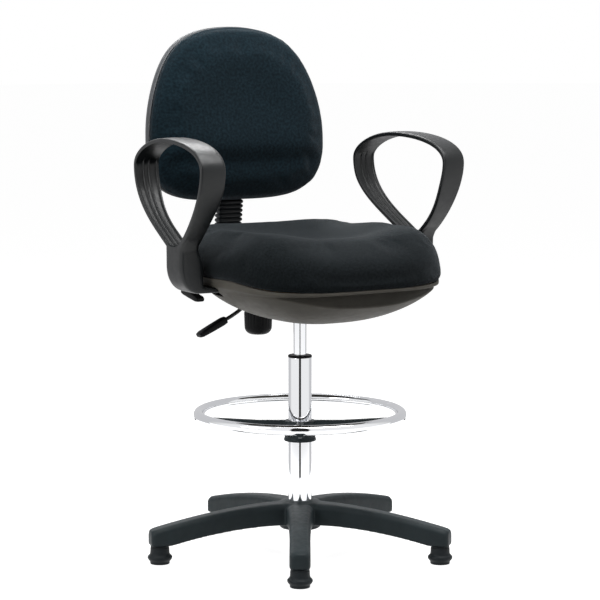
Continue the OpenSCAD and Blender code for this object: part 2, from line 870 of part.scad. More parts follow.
// The loop's outline in Y and Z, from the middle of its top towards the front.
function loop_points() =
    let (low = board_z + loop_lift, high = low + loop_h, wide = high - loop_h * 0.27,
        front = -loop_l * 0.42, rear = loop_l * 0.58, top = rear - loop_l * 0.46,
        foot = arm_foot_l * 0.4)
    concat(
        curve([top, high], [top - 70, high], [front, wide + 48], [front, wide], 8),
        curve([front, wide], [front, wide - 56], [-foot * 1.9, low + 34], [-foot, low + 4], 8),
        curve([-foot, low + 4], [-foot * 0.5, low - 5], [foot * 0.5, low - 5], [foot, low + 4], 4),
        curve([foot, low + 4], [foot * 3, low + 40], [rear, wide - 84], [rear, wide], 8),
        curve([rear, wide], [rear, wide + 32], [top + 76, high], [top, high], 8));

module arm() {
    low = board_z + loop_lift;
    out = arm_w / 2;
    flange_z = board_z - 0.3 - flange_t;
    inside_r = 8;
    difference() {
        union() {
            across(arm_w)
                polygon(loop_points());
            // The foot, which bends in under the board.
            translate([0, arm_foot_l / 2, 0])
                rotate([90, 0, 0])
                    linear_extrude(height = arm_foot_l)
                        polygon(concat(
                            [[-flange_reach, flange_z]],
                            [for (w = [-90:15:0])
                                [out - foot_round + foot_round * cos(w),
                                    flange_z + foot_drop + foot_drop * sin(w)]],
                            [[out, low + 22], [-out, low + 22]],
                            [for (w = [0:-30:-90])
                                [-out - inside_r + inside_r * cos(w),
                                    flange_z + flange_t + inside_r + inside_r * sin(w)]],
                            [[-flange_reach, flange_z + flange_t]]));
        }
        // The hand gap.
        across(arm_w + 2)
            polygon(inward(loop_points(), band_t));
        for (p = arm_bolt_places)
            translate([-flange_reach + p[0], p[1], flange_z - 1])
                cylinder(r = m6_r + 0.3, h = flange_t + 2);
    }
}

module arm_at(side) {
    color([0.1, 0.11, 0.115])
        at_arm(side)
            arm();
}

module arm_bolts() {
    color([0.5, 0.5, 0.52])
        for (side = [-1, 1])
            at_arm_bolts(side)
                translate([0, 0, board_z - 0.3 - flange_t])
                    screw(5, 4, m6_r, flange_t + board_t - 2);
}

module arm_nuts() {
    color([0.65, 0.65, 0.6])
        for (side = [-1, 1])
            at_arm_bolts(side)
                translate([0, 0, board_z])
                    tee_nut();
}

// ---- Levers ----

// The height lever's rod, from over the valve out and down into its paddle.
function lever_path() =
    let (run = [-cos(lever_droop), -sin(lever_droop)], root = paddle_root,
        from = root - lever_bend / 4 * run)
    concat([[lever_r * 1.5, lever_z], [-lever_r * 5, lever_z]],
        curve([-fulcrum_x - lever_r * 3, lever_z], [-fulcrum_x - lever_bend, lever_z],
            from - lever_bend * 0.71 * run, from, 7),
        [from, root, root + lever_grip * run]);

module height_lever_rod() {
    color([0.03, 0.03, 0.035])
        difference() {
            bent_bar(lever_path(), lever_r, 12);
            translate([-fulcrum_x, lever_r + 1, lever_z])
                rotate([90, 0, 0])
                    cylinder(r = lever_pin_r() + running_gap, h = 2 * lever_r + 2);
        }
}

// A flat grip that widens towards its end; local X runs along it.
module paddle(length) {
    loft([for (p = [[0, 0.62, 0.86], [0.12, 0.68, 1], [0.5, 0.84, 0.92], [0.9, 1, 0.72], [1, 0.86, 0.5]])
        [for (q = rounded(paddle_w / 2 * p[1], paddle_t / 2 * p[2], 4, 16))
            [length * p[0], q[0], q[1]]]]);
}

module height_lever_paddle() {
    color([0.03, 0.03, 0.035])
        translate([paddle_root[0], 0, paddle_root[1]])
            rotate([0, lever_droop, 180])
                difference() {
                    paddle(paddle_l);
                    translate([-1, 0, 0])
                        rotate([0, 90, 0])
                            cylinder(r = lever_r + fixed_gap, h = 1 + lever_grip + 2 * fixed_gap);
                }
}

module angle_lever_rod() {
    color([0.03, 0.03, 0.035])
        translate([-angle_reach - 6, angle_y, angle_z])
            rotate([0, 90, 0])
                cylinder(r = lever_r, h = angle_reach + 6 + cheek_in + steel_t + 3);
}

module angle_lever_paddle() {
    droop = 12;
    color([0.03, 0.03, 0.035])
        difference() {
            translate([-angle_reach, angle_y + 9, angle_z + 1])
                rotate([droop, 0, 0])
                    rotate(-90)
                        paddle(paddle_l);
            translate([-angle_reach - 6 - fixed_gap, angle_y, angle_z])
                rotate([0, 90, 0])
                    cylinder(r = lever_r + fixed_gap, h = angle_reach);
        }
}

module angle_cam() {
    color([0.5, 0.5, 0.52])
        translate([-cheek_in + 3, angle_y, angle_z])
            rotate([0, 90, 0])
                washer(lever_r + 4, lever_r + fixed_gap, 8);
}

// ---- Back carrier, upright and knob ----

module back_carrier() {
    half_w = bar_w / 2 + running_gap;
    half_t = bar_t / 2 + running_gap;
    color([0.08, 0.08, 0.09])
        difference() {
            union() {
                translate([-half_w - sleeve_wall, sleeve_front, bar_z - half_t - sleeve_wall])
                    cube([2 * (half_w + sleeve_wall), sleeve_rear - sleeve_front,
                        2 * (half_t + sleeve_wall)]);
                for (side = [-1, 1])
                    translate([side * (ear_in + sleeve_wall / 2), 0, 0])
                        ear();
                // The nut of the knob's stud.
                translate([0, knob_y, bar_z - half_t - sleeve_wall - 8])
                    cylinder(r = stud_r() + 5, h = 9, $fn = 6);
            }
            translate([-half_w, sleeve_front - 1, bar_z - half_t])
                cube([2 * half_w, sleeve_rear - sleeve_front + 2, 2 * half_t]);
            translate([-ear_in - 5, pivot_y, pivot_z])
                rotate([0, 90, 0])
                    cylinder(r = pivot_r + running_gap, h = 2 * ear_in + 10);
            translate([0, knob_y, bar_z - half_t - sleeve_wall - 9])
                cylinder(r = stud_r() + running_gap, h = 15);
        }
}

function stud_r() = 5;

// One cheek of the carrier, from the pivot back along the sleeve.
module ear() {
    translate([-sleeve_wall / 2, 0, 0])
        rotate([90, 0, 90])
            linear_extrude(height = sleeve_wall)
                union() {
                    translate([pivot_y, pivot_z])
                        circle(r = ear_r);
                    polygon([[pivot_y - 8, pivot_z - 9], [pivot_y + 6, pivot_z + 10],
                        [sleeve_front + 40, bar_z + bar_t / 2 + 2],
                        [sleeve_front + 40, bar_z - bar_t / 2 - 2],
                        [sleeve_front, bar_z - bar_t / 2 - 2]]);
                }
}

module depth_stud() {
    color([0.6, 0.6, 0.62])
        translate([0, knob_y, knob_top_z - 30])
            cylinder(r = stud_r(), h = bar_z - bar_t / 2 - 0.1 - knob_top_z + 30);
}

// The fluted knob, rounded underneath.
module depth_knob() {
    corner = 17;
    rim_r = knob_r - 1;
    color([0.02, 0.02, 0.03])
        translate([0, knob_y, knob_bottom_z])
            difference() {
                rotate_extrude()
                    polygon(concat([[0, 0]],
                        [for (w = [-90:15:0]) [rim_r - corner + corner * cos(w), corner + corner * sin(w)]],
                        [[knob_r, knob_h - 6], [knob_r - 2, knob_h], [0, knob_h]]));
                for (k = [0:knob_flutes - 1])
                    rotate(k * 360 / knob_flutes)
                        translate([knob_r + 0.8, 0, -1])
                            cylinder(r = 2.2, h = knob_h + 2, $fn = 16);
                translate([0, 0, knob_h - 30 - fixed_gap])
                    cylinder(r = stud_r() + fixed_gap, h = 40);
            }
}

// The upright's middle line in Y and Z: along under the seat, round the bend and up.
function upright_line(z) = upright_y + (back_z - z) * bar_tan;
function upright_path() =
    let (r = bar_bend_r + bar_t / 2, turn = 90 + bar_lean,
        mid_z = bar_z + r,
        mid_y = upright_line(mid_z) - r / cos(bar_lean))
    concat([[bar_inner_y, bar_z]],
        [for (w = [0:turn / 12:turn + small]) [mid_y + r * sin(w), mid_z - r * cos(w)]],
        [[upright_line(bar_top_z), bar_top_z]]);

module back_upright() {
    color([0.08, 0.08, 0.09])
        difference() {
            across(bar_w)
                polygon(strip(upright_path(), bar_t));
            // Notches that the pawl drops into.
            for (k = [0:5])
                translate([0, upright_line(notch_z(k)), notch_z(k)])
                    rotate([90 + bar_lean, 0, 0])
                        cylinder(r = 4, h = 30, center = true);
        }
}

function notch_z(k) = bar_top_z - 12 - k * 14;

module back_bellows() {
    ribs = floor((bellows_top_z - bellows_bottom_z) / rib_pitch);
    step = (bellows_top_z - bellows_bottom_z) / ribs;
    groove = 3;
    color([0.05, 0.06, 0.065])
        difference() {
            loft([for (k = [0:2 * ribs])
                let (z = bellows_bottom_z + k * step / 2, cut = k % 2 == 0 ? groove : 0)
                [for (p = rounded(bellows_w / 2 - cut, bellows_d / 2 - cut, 5, 24))
                    [p[0], p[1] + upright_line(z), z]]]);
            across(bar_w + 2)
                polygon(strip([[upright_line(bellows_bottom_z - 5), bellows_bottom_z - 5],
                    [upright_line(bellows_top_z + 5), bellows_top_z + 5]], bar_t + 2));
        }
}

// ---- Backrest ----

// The backrest's outline in X and Z, drawn in towards its middle by inset.
function back_points(inset) =
    let (h = back_h, w = back_w / 2, top = back_z + h,
        right = concat(
            curve([0, back_z], [w * 0.77, back_z - 2], [w, back_z + h * 0.11], [w, back_z + h * 0.34], 10),
            curve([w, back_z + h * 0.34], [w * 0.995, back_z + h * 0.79], [w * 0.77, top], [0, top], 12)),
        left = [for (k = [len(right) - 1:-1:1]) [-right[k][0], right[k][1]]],
        share = 1 - inset / w)
    [for (p = concat(right, [[0, top]], left)) [p[0] * share, back_mid_z + (p[1] - back_mid_z) * share]];

// How far the backrest has curved to the rear at a height, from its foremost line at the lumbar.
function bow(z) = back_bow * pow(abs(z - lumbar_z) / (back_z + back_h - lumbar_z), 1.6);

function back_ring(inset, y) = [for (p = back_points(inset)) [p[0], y + bow(p[1]), p[1]]];

// A ring on the board, which follows the bow above the lumbar and is flat where the bracket sits.
function board_ring(inset, y) = [for (p = back_points(inset)) [p[0], y + board_bow(p[1]), p[1]]];
function board_bow(z) = z < lumbar_z ? 0 : max(0, bow(z) - soft_gap);

// The insets of the rings that cover the board's faces, from near its middle outwards.
board_insets = [back_w * 0.45, back_w * 0.31, back_w * 0.2, back_w * 0.1];

module back_board() {
    color([0.72, 0.58, 0.4])
        difference() {
            loft(concat([for (i = board_insets) board_ring(i, shell_y)],
                [board_ring(back_board_inset, shell_y), board_ring(back_board_inset, board_back_y)],
                [for (k = [len(board_insets) - 1:-1:0]) board_ring(board_insets[k], board_back_y)]));
            for (p = back_screw_places())
                translate([p[0], board_back_y - 1, p[1]])
                    rotate([-90, 0, 0])
                        cylinder(r = screw_r() + fixed_gap, h = back_board_t + 2);
        }
}

module back_cushion() {
    front = back_y;
    recess = back_board_inset - soft_gap;
    color([0.07, 0.1, 0.12])
        difference() {
            loft([back_ring(5, shell_y), back_ring(1, board_back_y),
                back_ring(0, front + 6), back_ring(3, front), back_ring(14, front - back_crown * 0.45),
                back_ring(34, front - back_crown * 0.72), back_ring(80, front - back_crown * 0.93),
                back_ring(130, front - back_crown)]);
            // The recess that the board fills.
            loft(concat([[for (p = back_points(recess)) [p[0], shell_y + back_bow + 5, p[1]]],
                board_ring(recess, board_back_y - soft_gap)],
                [for (k = [len(board_insets) - 1:-1:0])
                    board_ring(board_insets[k], board_back_y - soft_gap)]));
        }
}

// The shell's insets from its rear face forwards, each with its share of the shell's depth.
shell_profile = [[110, 1], [76, 0.985], [52, 0.93], [34, 0.85], [21, 0.75], [12, 0.64], [6, 0.5],
    [2.5, 0.36], [1, 0.22]];

module back_shell() {
    y0 = shell_y + soft_gap;
    d = shell_d;
    wall = shell_wall;
    seat = back_board_inset + shell_seat;
    color([0.3, 0.3, 0.31])
        difference() {
            loft(concat([for (p = shell_profile) back_ring(p[0], y0 + d * p[1])], [back_ring(1, y0)]));
            loft(concat([for (p = shell_profile) back_ring(p[0] + wall, y0 + d * p[1] - wall)],
                [back_ring(seat, y0 + 2), back_ring(seat, y0 - 1)]));
            // The mouth that the upright and its bellows enter.
            translate([-bellows_w / 2 - 2, y0 - 1, back_z - 20])
                cube([bellows_w + 4, d - 2 * wall, 50]);
        }
}

// The places of the bracket's screws on the board, in X and Z.
function back_screw_places() = [for (x = [-1, 1], z = [-1, 1])
    [x * (bar_w / 2 + bracket_lug * 0.62), bracket_mid() + z * bracket_h * 0.34]];
function bracket_mid() = back_z + bracket_lift;
function screw_r() = 2.5;

// The steel sleeve that slides on the upright, with two lugs screwed to the board.
module back_bracket() {
    half_h = bracket_h / 2;
    mid_z = bracket_mid();
    half_t = bar_t / 2 + running_gap;
    half_w = bar_w / 2 + running_gap;
    lug_w = half_w + bracket_lug;
    low = mid_z - half_h;
    high = mid_z + half_h;
    lug_t = 2.5;
    color([0.15, 0.15, 0.16])
        difference() {
            union() {
                across(2 * (half_w + 2))
                    polygon([[shell_y, low], [upright_line(low) + half_t + 2, low],
                        [upright_line(high) + half_t + 2, high], [shell_y, high]]);
                translate([-lug_w, shell_y, low])
                    cube([2 * lug_w, lug_t, high - low]);
            }
            across(2 * half_w)
                polygon(strip([[upright_line(low - 5), low - 5], [upright_line(high + 5), high + 5]],
                    2 * half_t));
            for (p = back_screw_places())
                translate([p[0], shell_y - 1, p[1]])
                    rotate([-90, 0, 0])
                        cylinder(r = screw_r() + fixed_gap, h = lug_t + 2);
            // The slot of the pawl.
            translate([-5.2, upright_line(mid_z) + half_t - 1, mid_z - 6])
                cube([10.4, 8, 12]);
        }
}

// The sprung pawl that clicks into the upright's notches.
module height_pawl() {
    mid_z = bracket_mid();
    pawl_h = 11.6;
    y = upright_line(mid_z) + bar_t / 2 + running_gap + soft_gap + pawl_h / 2 * bar_tan;
    color([0.75, 0.72, 0.6])
        translate([-5, y, mid_z - pawl_h / 2])
            cube([10, 3, pawl_h]);
}

module back_screws() {
    color([0.5, 0.5, 0.52])
        for (p = back_screw_places())
            translate([p[0], shell_y + 2.5, p[1]])
                rotate([90, 0, 0])
                    screw(4.5, 2.5, screw_r(), back_board_t + 2);
}

// ---- Foot ring ----

function spoke_angle(k) = ring_turn + k * 90;

// A spoke that rises from the hub to under the ring.
module spoke() {
    top = ring_hub_top;
    block = 13;
    rotate([90, 0, 0])
        translate([0, 0, -spoke_w / 2])
            linear_extrude(height = spoke_w)
                polygon([[tube_r + 2, top - spoke_root_h], [ring_hub_r + block, top - spoke_root_h],
                    [ring_hub_r + block + 3, top - spoke_root_h * 0.66],
                    [ring_hub_r + 40, top - spoke_root_h * 0.42],
                    [ring_circle_r + 8, spoke_tip_z - spoke_tip_h], [ring_circle_r + 9, spoke_tip_z],
                    [ring_circle_r - 9, spoke_tip_z], [ring_hub_r + 60, top], [tube_r + 2, top]]);
}

module at_clamp(k) {
    rotate(knob_turn + 180 * k)
        translate([0, 0, ring_clamp_z])
            rotate([0, 90, 0])
                children();
}

module footring_hub() {
    color([0.1, 0.11, 0.12])
        difference() {
            union() {
                translate([0, 0, ring_hub_bottom])
                    cylinder(r = ring_hub_r, h = ring_hub_h);
                translate([0, 0, ring_hub_bottom])
                    cylinder(r = ring_hub_r + 1.5, h = 5);
                for (k = [0:3])
                    rotate(spoke_angle(k))
                        spoke();
                for (k = [0:1])
                    at_clamp(k)
                        cylinder(r = ring_boss_r, h = ring_boss_reach);
            }
            translate([0, 0, ring_hub_bottom - 1])
                cylinder(r = ring_bore_r, h = ring_hub_h + 2);
            for (k = [0:1])
                at_clamp(k)
                    cylinder(r = ring_stud_r + running_gap, h = ring_boss_reach + 1);
            // The saddle of the ring, and the screws that hold it.
            translate([0, 0, ring_z])
                rotate_extrude()
                    translate([ring_circle_r, 0])
                        circle(r = ring_tube_r + fixed_gap);
            for (k = [0:3])
                rotate(spoke_angle(k))
                    translate([ring_circle_r, 0, ring_under_z - 20]) {
                        cylinder(r = screw_r() + fixed_gap, h = 30);
                        cylinder(r = ring_head_r + 0.2, h = ring_head_z - ring_under_z + 20);
                    }
        }
}

module foot_ring() {
    color([0.82, 0.83, 0.85])
        difference() {
            translate([0, 0, ring_z])
                rotate_extrude()
                    translate([ring_circle_r, 0])
                        difference() {
                            circle(r = ring_tube_r);
                            circle(r = ring_tube_r - ring_wall);
                        }
            for (k = [0:3])
                rotate(spoke_angle(k))
                    translate([ring_circle_r, 0, ring_under_z - 1])
                        cylinder(r = screw_r() + fixed_gap, h = ring_wall + 3);
        }
}

module ring_screws() {
    color([0.5, 0.5, 0.52])
        for (k = [0:3])
            rotate(spoke_angle(k))
                translate([ring_circle_r, 0, ring_head_z])
                    screw(ring_head_r, 2, screw_r(), spoke_tip_h + 2);
}

module ring_pad_screw() {
    color([0.12, 0.13, 0.14])
        at_clamp(1)
            union() {
                translate([0, 0, tube_r + 0.3])
                    cylinder(r = ring_stud_r, h = ring_boss_reach - tube_r);
                translate([0, 0, ring_boss_reach + 0.1])
                    cylinder(r = ring_stud_r + 3, h = 2.5);
            }
}

module ring_stud() {
    color([0.6, 0.6, 0.62])
        at_clamp(0)
            translate([0, 0, tube_r + 0.3])
                cylinder(r = ring_stud_r, h = ring_boss_reach - tube_r + 12);
}

module ring_knob() {
    lobes = 6;
    color([0.04, 0.04, 0.05])
        at_clamp(0)
            translate([0, 0, ring_boss_reach + 0.5])
                difference() {
                    union() {
                        cylinder(r = ring_knob_r - 3, h = 16);
                        for (k = [0:lobes - 1])
                            rotate(k * 360 / lobes)
                                translate([ring_knob_r - 4, 0, 3])
                                    cylinder(r = 4, h = 13);
                    }
                    translate([0, 0, -1])
                        cylinder(r = ring_stud_r + fixed_gap, h = 13);
                }
}

star_base();
glide_at(0);  // glide_1
glide_at(1);  // glide_2
glide_at(2);  // glide_3
glide_at(3);  // glide_4
glide_at(4);  // glide_5
glide_stems();
column_tube();
tube_foot();
thrust_race_lower();
thrust_balls();
guide_bush();
thrust_race_upper();
piston_rod();
piston_head();
rod_clip();
gas_cylinder();
cylinder_gland();
valve_body();
valve_pin();
mechanism_housing();
tilt_pin();
pin_clips();
tilt_spring();
lever_pivot_pin();
mechanism_bolts();
mechanism_nuts();
seat_board();
seat_pan();
seat_cushion();
arm_at(-1);  // arm_right
arm_at(1);  // arm_left
arm_bolts();
arm_nuts();
height_lever_rod();
height_lever_paddle();
angle_lever_rod();
angle_lever_paddle();
angle_cam();
back_carrier();
depth_knob();
depth_stud();
back_upright();
back_bellows();
back_bracket();
height_pawl();
back_board();
back_shell();
back_cushion();
back_screws();
footring_hub();
foot_ring();
ring_screws();
ring_pad_screw();
ring_knob();
ring_stud();
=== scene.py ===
# %% [markdown]
# # A drafting chair, dressed around its CAD parts
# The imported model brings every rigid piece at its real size, in metres, standing on the floor at
# z = 0 with the sitter facing -Y. Each step below gives one piece its finish, or replaces a plain
# solid with a modelled surface that rides on the same body.

# %% Load the frame
import math

import bmesh
import bpy
import numpy as np
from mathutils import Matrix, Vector


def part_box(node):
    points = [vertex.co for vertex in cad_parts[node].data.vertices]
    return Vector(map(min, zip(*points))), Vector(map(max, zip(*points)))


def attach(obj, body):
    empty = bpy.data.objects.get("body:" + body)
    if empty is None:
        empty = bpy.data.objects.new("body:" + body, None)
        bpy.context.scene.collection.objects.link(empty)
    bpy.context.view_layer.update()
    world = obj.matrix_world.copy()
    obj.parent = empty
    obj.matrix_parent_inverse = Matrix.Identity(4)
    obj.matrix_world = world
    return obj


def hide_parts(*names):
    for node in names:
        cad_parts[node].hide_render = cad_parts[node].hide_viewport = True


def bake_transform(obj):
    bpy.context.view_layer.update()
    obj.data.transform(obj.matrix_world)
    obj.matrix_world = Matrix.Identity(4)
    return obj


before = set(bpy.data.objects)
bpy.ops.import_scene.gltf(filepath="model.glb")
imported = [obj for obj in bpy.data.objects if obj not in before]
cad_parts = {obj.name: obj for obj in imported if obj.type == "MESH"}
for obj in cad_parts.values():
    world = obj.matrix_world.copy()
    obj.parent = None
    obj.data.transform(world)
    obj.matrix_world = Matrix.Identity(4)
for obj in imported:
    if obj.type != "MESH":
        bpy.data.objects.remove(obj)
scene = bpy.context.scene
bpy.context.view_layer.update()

# %% [markdown]
# ## Camera
# A chair is usually shown from a little to one side of its front, from about head height and
# through a long lens, so that its uprights stay straight. The camera looks at a point on the
# column, which keeps the column upright in the frame.

# %% Place the camera
view_turn = math.radians(-33)
camera_away = 5.0
camera_height = 1.12
camera_lens = 142
aim_height = 0.549


def around(turn, away, height):
    """The point that lies away from the column, turned clockwise from straight ahead."""
    return math.sin(turn) * away, -math.cos(turn) * away, height


def aimed(data, spot, aim):
    """An object for a camera or a lamp, that looks from its spot at a height on the column."""
    made = bpy.data.objects.new(data.name, data)
    made.location = spot
    made.rotation_mode = "QUATERNION"
    made.rotation_quaternion = (Vector((0, 0, aim)) - made.location).to_track_quat("-Z", "Y")
    scene.collection.objects.link(made)
    return made


lens = bpy.data.cameras.new("camera")
lens.lens = camera_lens
lens.clip_end = 50
camera = aimed(lens, around(view_turn, camera_away, camera_height), aim_height)
scene.camera = camera
print("camera at", [round(v, 2) for v in camera.location])

# %% [markdown]
# ## Surfaces from grids
# Most new pieces are one grid of points, worked out with numpy and wrapped into a skin: rows run
# along the piece and columns run round it. A fan to the middle of the first and last row closes
# the ends.

# %% Make a mesh from arrays
def mesh_piece(name, points, quads, fans=None):
    """An object whose mesh has these points, four-sided faces and, if given, three-sided ones."""
    fans = np.zeros((0, 3), int) if fans is None else fans
    corners = np.concatenate([quads.ravel(), fans.ravel()]).astype(np.int32)
    sizes = np.concatenate([np.full(len(quads), 4), np.full(len(fans), 3)])
    mesh = bpy.data.meshes.new(name)
    mesh.vertices.add(len(points))
    mesh.vertices.foreach_set("co", np.asarray(points, np.float32).ravel())
    mesh.loops.add(len(corners))
    mesh.loops.foreach_set("vertex_index", corners)
    mesh.polygons.add(len(sizes))
    mesh.polygons.foreach_set("loop_start", (np.cumsum(sizes) - sizes).astype(np.int32))
    mesh.polygons.foreach_set("use_smooth", np.ones(len(sizes), bool))
    mesh.update(calc_edges=True)
    mesh.validate()
    piece = bpy.data.objects.new(name, mesh)
    scene.collection.objects.link(piece)
    return piece


def grid_faces(rows, columns, closed):
    """Corner numbers of the quads between rows; closed joins the last column to the first."""
    steps = columns if closed else columns - 1
    i, j = np.meshgrid(np.arange(rows - 1), np.arange(steps), indexing="ij")
    k = (j + 1) % columns
    quads = [i * columns + j, i * columns + k, (i + 1) * columns + k, (i + 1) * columns + j]
    return np.stack(quads, -1).reshape(-1, 4)


def skin(name, grid, closed=True, ends=True):
    """A smooth surface through a rows x columns x 3 grid; ends closes the first and last row."""
    rows, columns = grid.shape[:2]
    points = grid.reshape(-1, 3)
    quads = grid_faces(rows, columns, closed)
    if not ends:
        return mesh_piece(name, points, quads)
    points = np.concatenate([points, grid[:1].mean(1), grid[-1:].mean(1)])
    j = np.arange(columns)
    k = (j + 1) % columns
    first, last = np.full(columns, rows * columns), np.full(columns, rows * columns + 1)
    base = (rows - 1) * columns
    fans = np.concatenate([np.stack([first, k, j], -1), np.stack([last, base + j, base + k], -1)])
    return mesh_piece(name, points, quads, fans)


def coordinates(piece):
    """The points of a piece's mesh as a rows x 3 array."""
    found = np.zeros(len(piece.data.vertices) * 3, np.float32)
    piece.data.vertices.foreach_get("co", found)
    return found.reshape(-1, 3).astype(float)


def settle(piece):
    """Applies every modifier that is on the piece, so that its mesh is the finished one."""
    graph = bpy.context.evaluated_depsgraph_get()
    finished = bpy.data.meshes.new_from_object(piece.evaluated_get(graph))
    piece.modifiers.clear()
    piece.data = finished
    piece.data.polygons.foreach_set("use_smooth", np.ones(len(finished.polygons), bool))
    return piece


def count(piece):
    """Prints how many faces a piece has."""
    print(piece.name, len(piece.data.polygons), "faces")
    return piece


# %% Curves and outlines
def bezier(ends, steps):
    """Points of a cubic curve from its four control points, without its last point."""
    t = np.arange(steps)[:, None] / steps
    a, b, c, d = np.asarray(ends, float)
    return (1 - t) ** 3 * a + 3 * (1 - t) ** 2 * t * b + 3 * (1 - t) * t**2 * c + t**3 * d


def superellipse(count_round, square):
    """Unit points (x, y) round an outline between a circle (2) and a square (large)."""
    w = np.linspace(0, 2 * np.pi, count_round, endpoint=False)
    c, s = np.cos(w), np.sin(w)
    return np.sign(c) * np.abs(c) ** (2 / square), np.sign(s) * np.abs(s) ** (2 / square)


def ease(t):
    """0 below 0, 1 above 1, and a smooth S between."""
    t = np.clip(t, 0, 1)
    return t * t * (3 - 2 * t)


# %% [markdown]
# ## Finishes
# Every finish is a small network of nodes that reads its place in metres, so a grain of half a
# millimetre stays half a millimetre on every piece. Bump gives the grain its relief, and a second,
# larger pattern keeps broad faces from looking uniform.

# %% Helpers for materials
class Network:
    """A tree of shader nodes, with short ways to add nodes and wire them."""

    def __init__(self, tree):
        self.nodes, self.links = tree.nodes, tree.links

    def node(self, kind, inputs=None, **settings):
        """A node with some settings; each input is a number, a colour or another node's output."""
        made = self.nodes.new("ShaderNode" + kind)
        for name, value in settings.items():
            setattr(made, name, value)
        for socket, value in (inputs or {}).items():
            if isinstance(value, bpy.types.NodeSocket):
                self.links.new(value, made.inputs[socket])
            else:
                made.inputs[socket].default_value = value
        return made

    def math(self, kind, a, b=0):
        """Two values or numbers joined by a calculation."""
        return self.node("Math", {0: a, 1: b}, operation=kind).outputs["Value"]

    def mix(self, share, first, second):
        """A colour between two others."""
        inputs = {"Factor": share, "A": first, "B": second}
        return self.node("Mix", inputs, data_type="RGBA").outputs["Result"]


class Finish(Network):
    """A material with one Principled shader."""

    def __init__(self, name, color, rough, metal=0.0):
        self.material = bpy.data.materials.new(name)
        self.material.use_nodes = True
        super().__init__(self.material.node_tree)
        self.shader = self.nodes["Principled BSDF"]
        self.set("Base Color", (*color, 1))
        self.set("Roughness", rough)
        self.set("Metallic", metal)
        self.place = self.node("TexCoord").outputs["Object"]

    def set(self, socket, value):
        """Gives one of the shader's sockets a fixed value."""
        self.shader.inputs[socket].default_value = value

    def wire(self, value, socket):
        """Feeds another node's output to one of the shader's sockets."""
        self.links.new(value, self.shader.inputs[socket])

    def noise(self, size, detail, place=None):
        """Noise whose grains are about size metres across."""
        inputs = {"Scale": 1 / size, "Detail": detail, "Vector": place or self.place}
        return self.node("TexNoise", inputs).outputs["Fac"]

    def spread(self, value, low, high, start=0.35, stop=0.65):
        """Maps the middle of a 0 to 1 value on to low to high."""
        ends = {"From Min": start, "From Max": stop, "To Min": low, "To Max": high}
        return self.node("MapRange", {"Value": value, **ends}).outputs["Result"]

    def bump(self, height, depth, strength=1.0, under=None):
        """Relief of depth metres from a 0 to 1 height, over another relief if one is given."""
        inputs = {"Strength": strength, "Distance": depth, "Height": height}
        if under is not None:
            inputs["Normal"] = under
        return self.node("Bump", inputs).outputs["Normal"]


def srgb(*screen):
    """A colour written as screen values from 0 to 255, as the linear numbers that shaders use."""
    value = np.array(screen) / 255
    return tuple(np.where(value < 0.04045, value / 12.92, ((value + 0.055) / 1.055) ** 2.4))


# %% Moulded plastics
def moulded(name, color, rough, grain, relief, gloss):
    """Moulded plastic: fine spark-eroded grain, slow clouds of colour, and patches of wear."""
    made = Finish(name, color, rough)
    made.set("Specular IOR Level", gloss)
    dark, light = ((*(c * change for c in color), 1) for change in (0.9, 1.1))
    made.wire(made.mix(made.spread(made.noise(0.05, 3), 0, 1), dark, light), "Base Color")
    made.wire(made.spread(made.noise(0.012, 4), rough - 0.04, rough + 0.06), "Roughness")
    made.wire(made.bump(made.noise(grain, 3), relief), "Normal")
    return made.material


base_plastic = moulded("base_plastic", srgb(44, 53, 56), 0.48, 0.0009, 0.00006, 0.2)
arm_plastic = moulded("arm_plastic", srgb(14, 18, 20), 0.38, 0.0014, 0.00005, 0.42)
pan_plastic = moulded("pan_plastic", srgb(100, 97, 90), 0.55, 0.0010, 0.00005, 0.2)
# The shell's grey is partly the plastic's own colour and partly painted highlight, raised for the
# light line along its edge.
shell_plastic = moulded("shell_plastic", srgb(90, 92, 95), 0.42, 0.0010, 0.00006, 0.3)
black_plastic = moulded("black_plastic", srgb(7, 8, 10), 0.42, 0.0008, 0.00004, 0.12)
glide_plastic = moulded("glide_plastic", srgb(30, 36, 39), 0.5, 0.0009, 0.00005, 0.2)
bellows_rubber = moulded("bellows_rubber", srgb(15, 20, 24), 0.38, 0.0012, 0.00003, 0.25)

# %% Metals
def metal(name, color, rough, streak):
    """Metal: a faint haze in its roughness, so that its reflections aren't perfectly even."""
    made = Finish(name, color, rough, 1.0)
    made.wire(made.spread(made.noise(0.02, 4), rough, rough + streak), "Roughness")
    return made.material


chrome = metal("chrome", (0.86, 0.87, 0.89), 0.035, 0.02)
steel = metal("steel", srgb(150, 150, 152), 0.35, 0.15)
spring_steel = metal("spring_steel", srgb(90, 90, 96), 0.4, 0.15)
brass = metal("brass", srgb(190, 160, 90), 0.35, 0.1)


def black_steel_finish():
    """Powder-coated steel: small soft pits in a half-gloss black."""
    made = Finish("black_steel", srgb(24, 25, 27), 0.45)
    made.wire(made.bump(made.noise(0.0022, 2), 0.00012), "Normal")
    made.wire(made.spread(made.noise(0.03, 3), 0.4, 0.52), "Roughness")
    return made.material


black_steel = black_steel_finish()


def plywood_finish():
    """Beech plywood: long grain across the board, in two browns."""
    made = Finish("plywood", srgb(190, 150, 105), 0.6)
    stretched = made.node("Mapping", {"Scale": (0.08, 1, 1), "Vector": made.place})
    grain = made.noise(0.004, 5, stretched.outputs["Vector"])
    dark, light = (*srgb(160, 118, 76), 1), (*srgb(205, 168, 122), 1)
    made.wire(made.mix(made.spread(grain, 0, 1), dark, light), "Base Color")
    made.wire(made.bump(grain, 0.0001), "Normal")
    return made.material


plywood = plywood_finish()

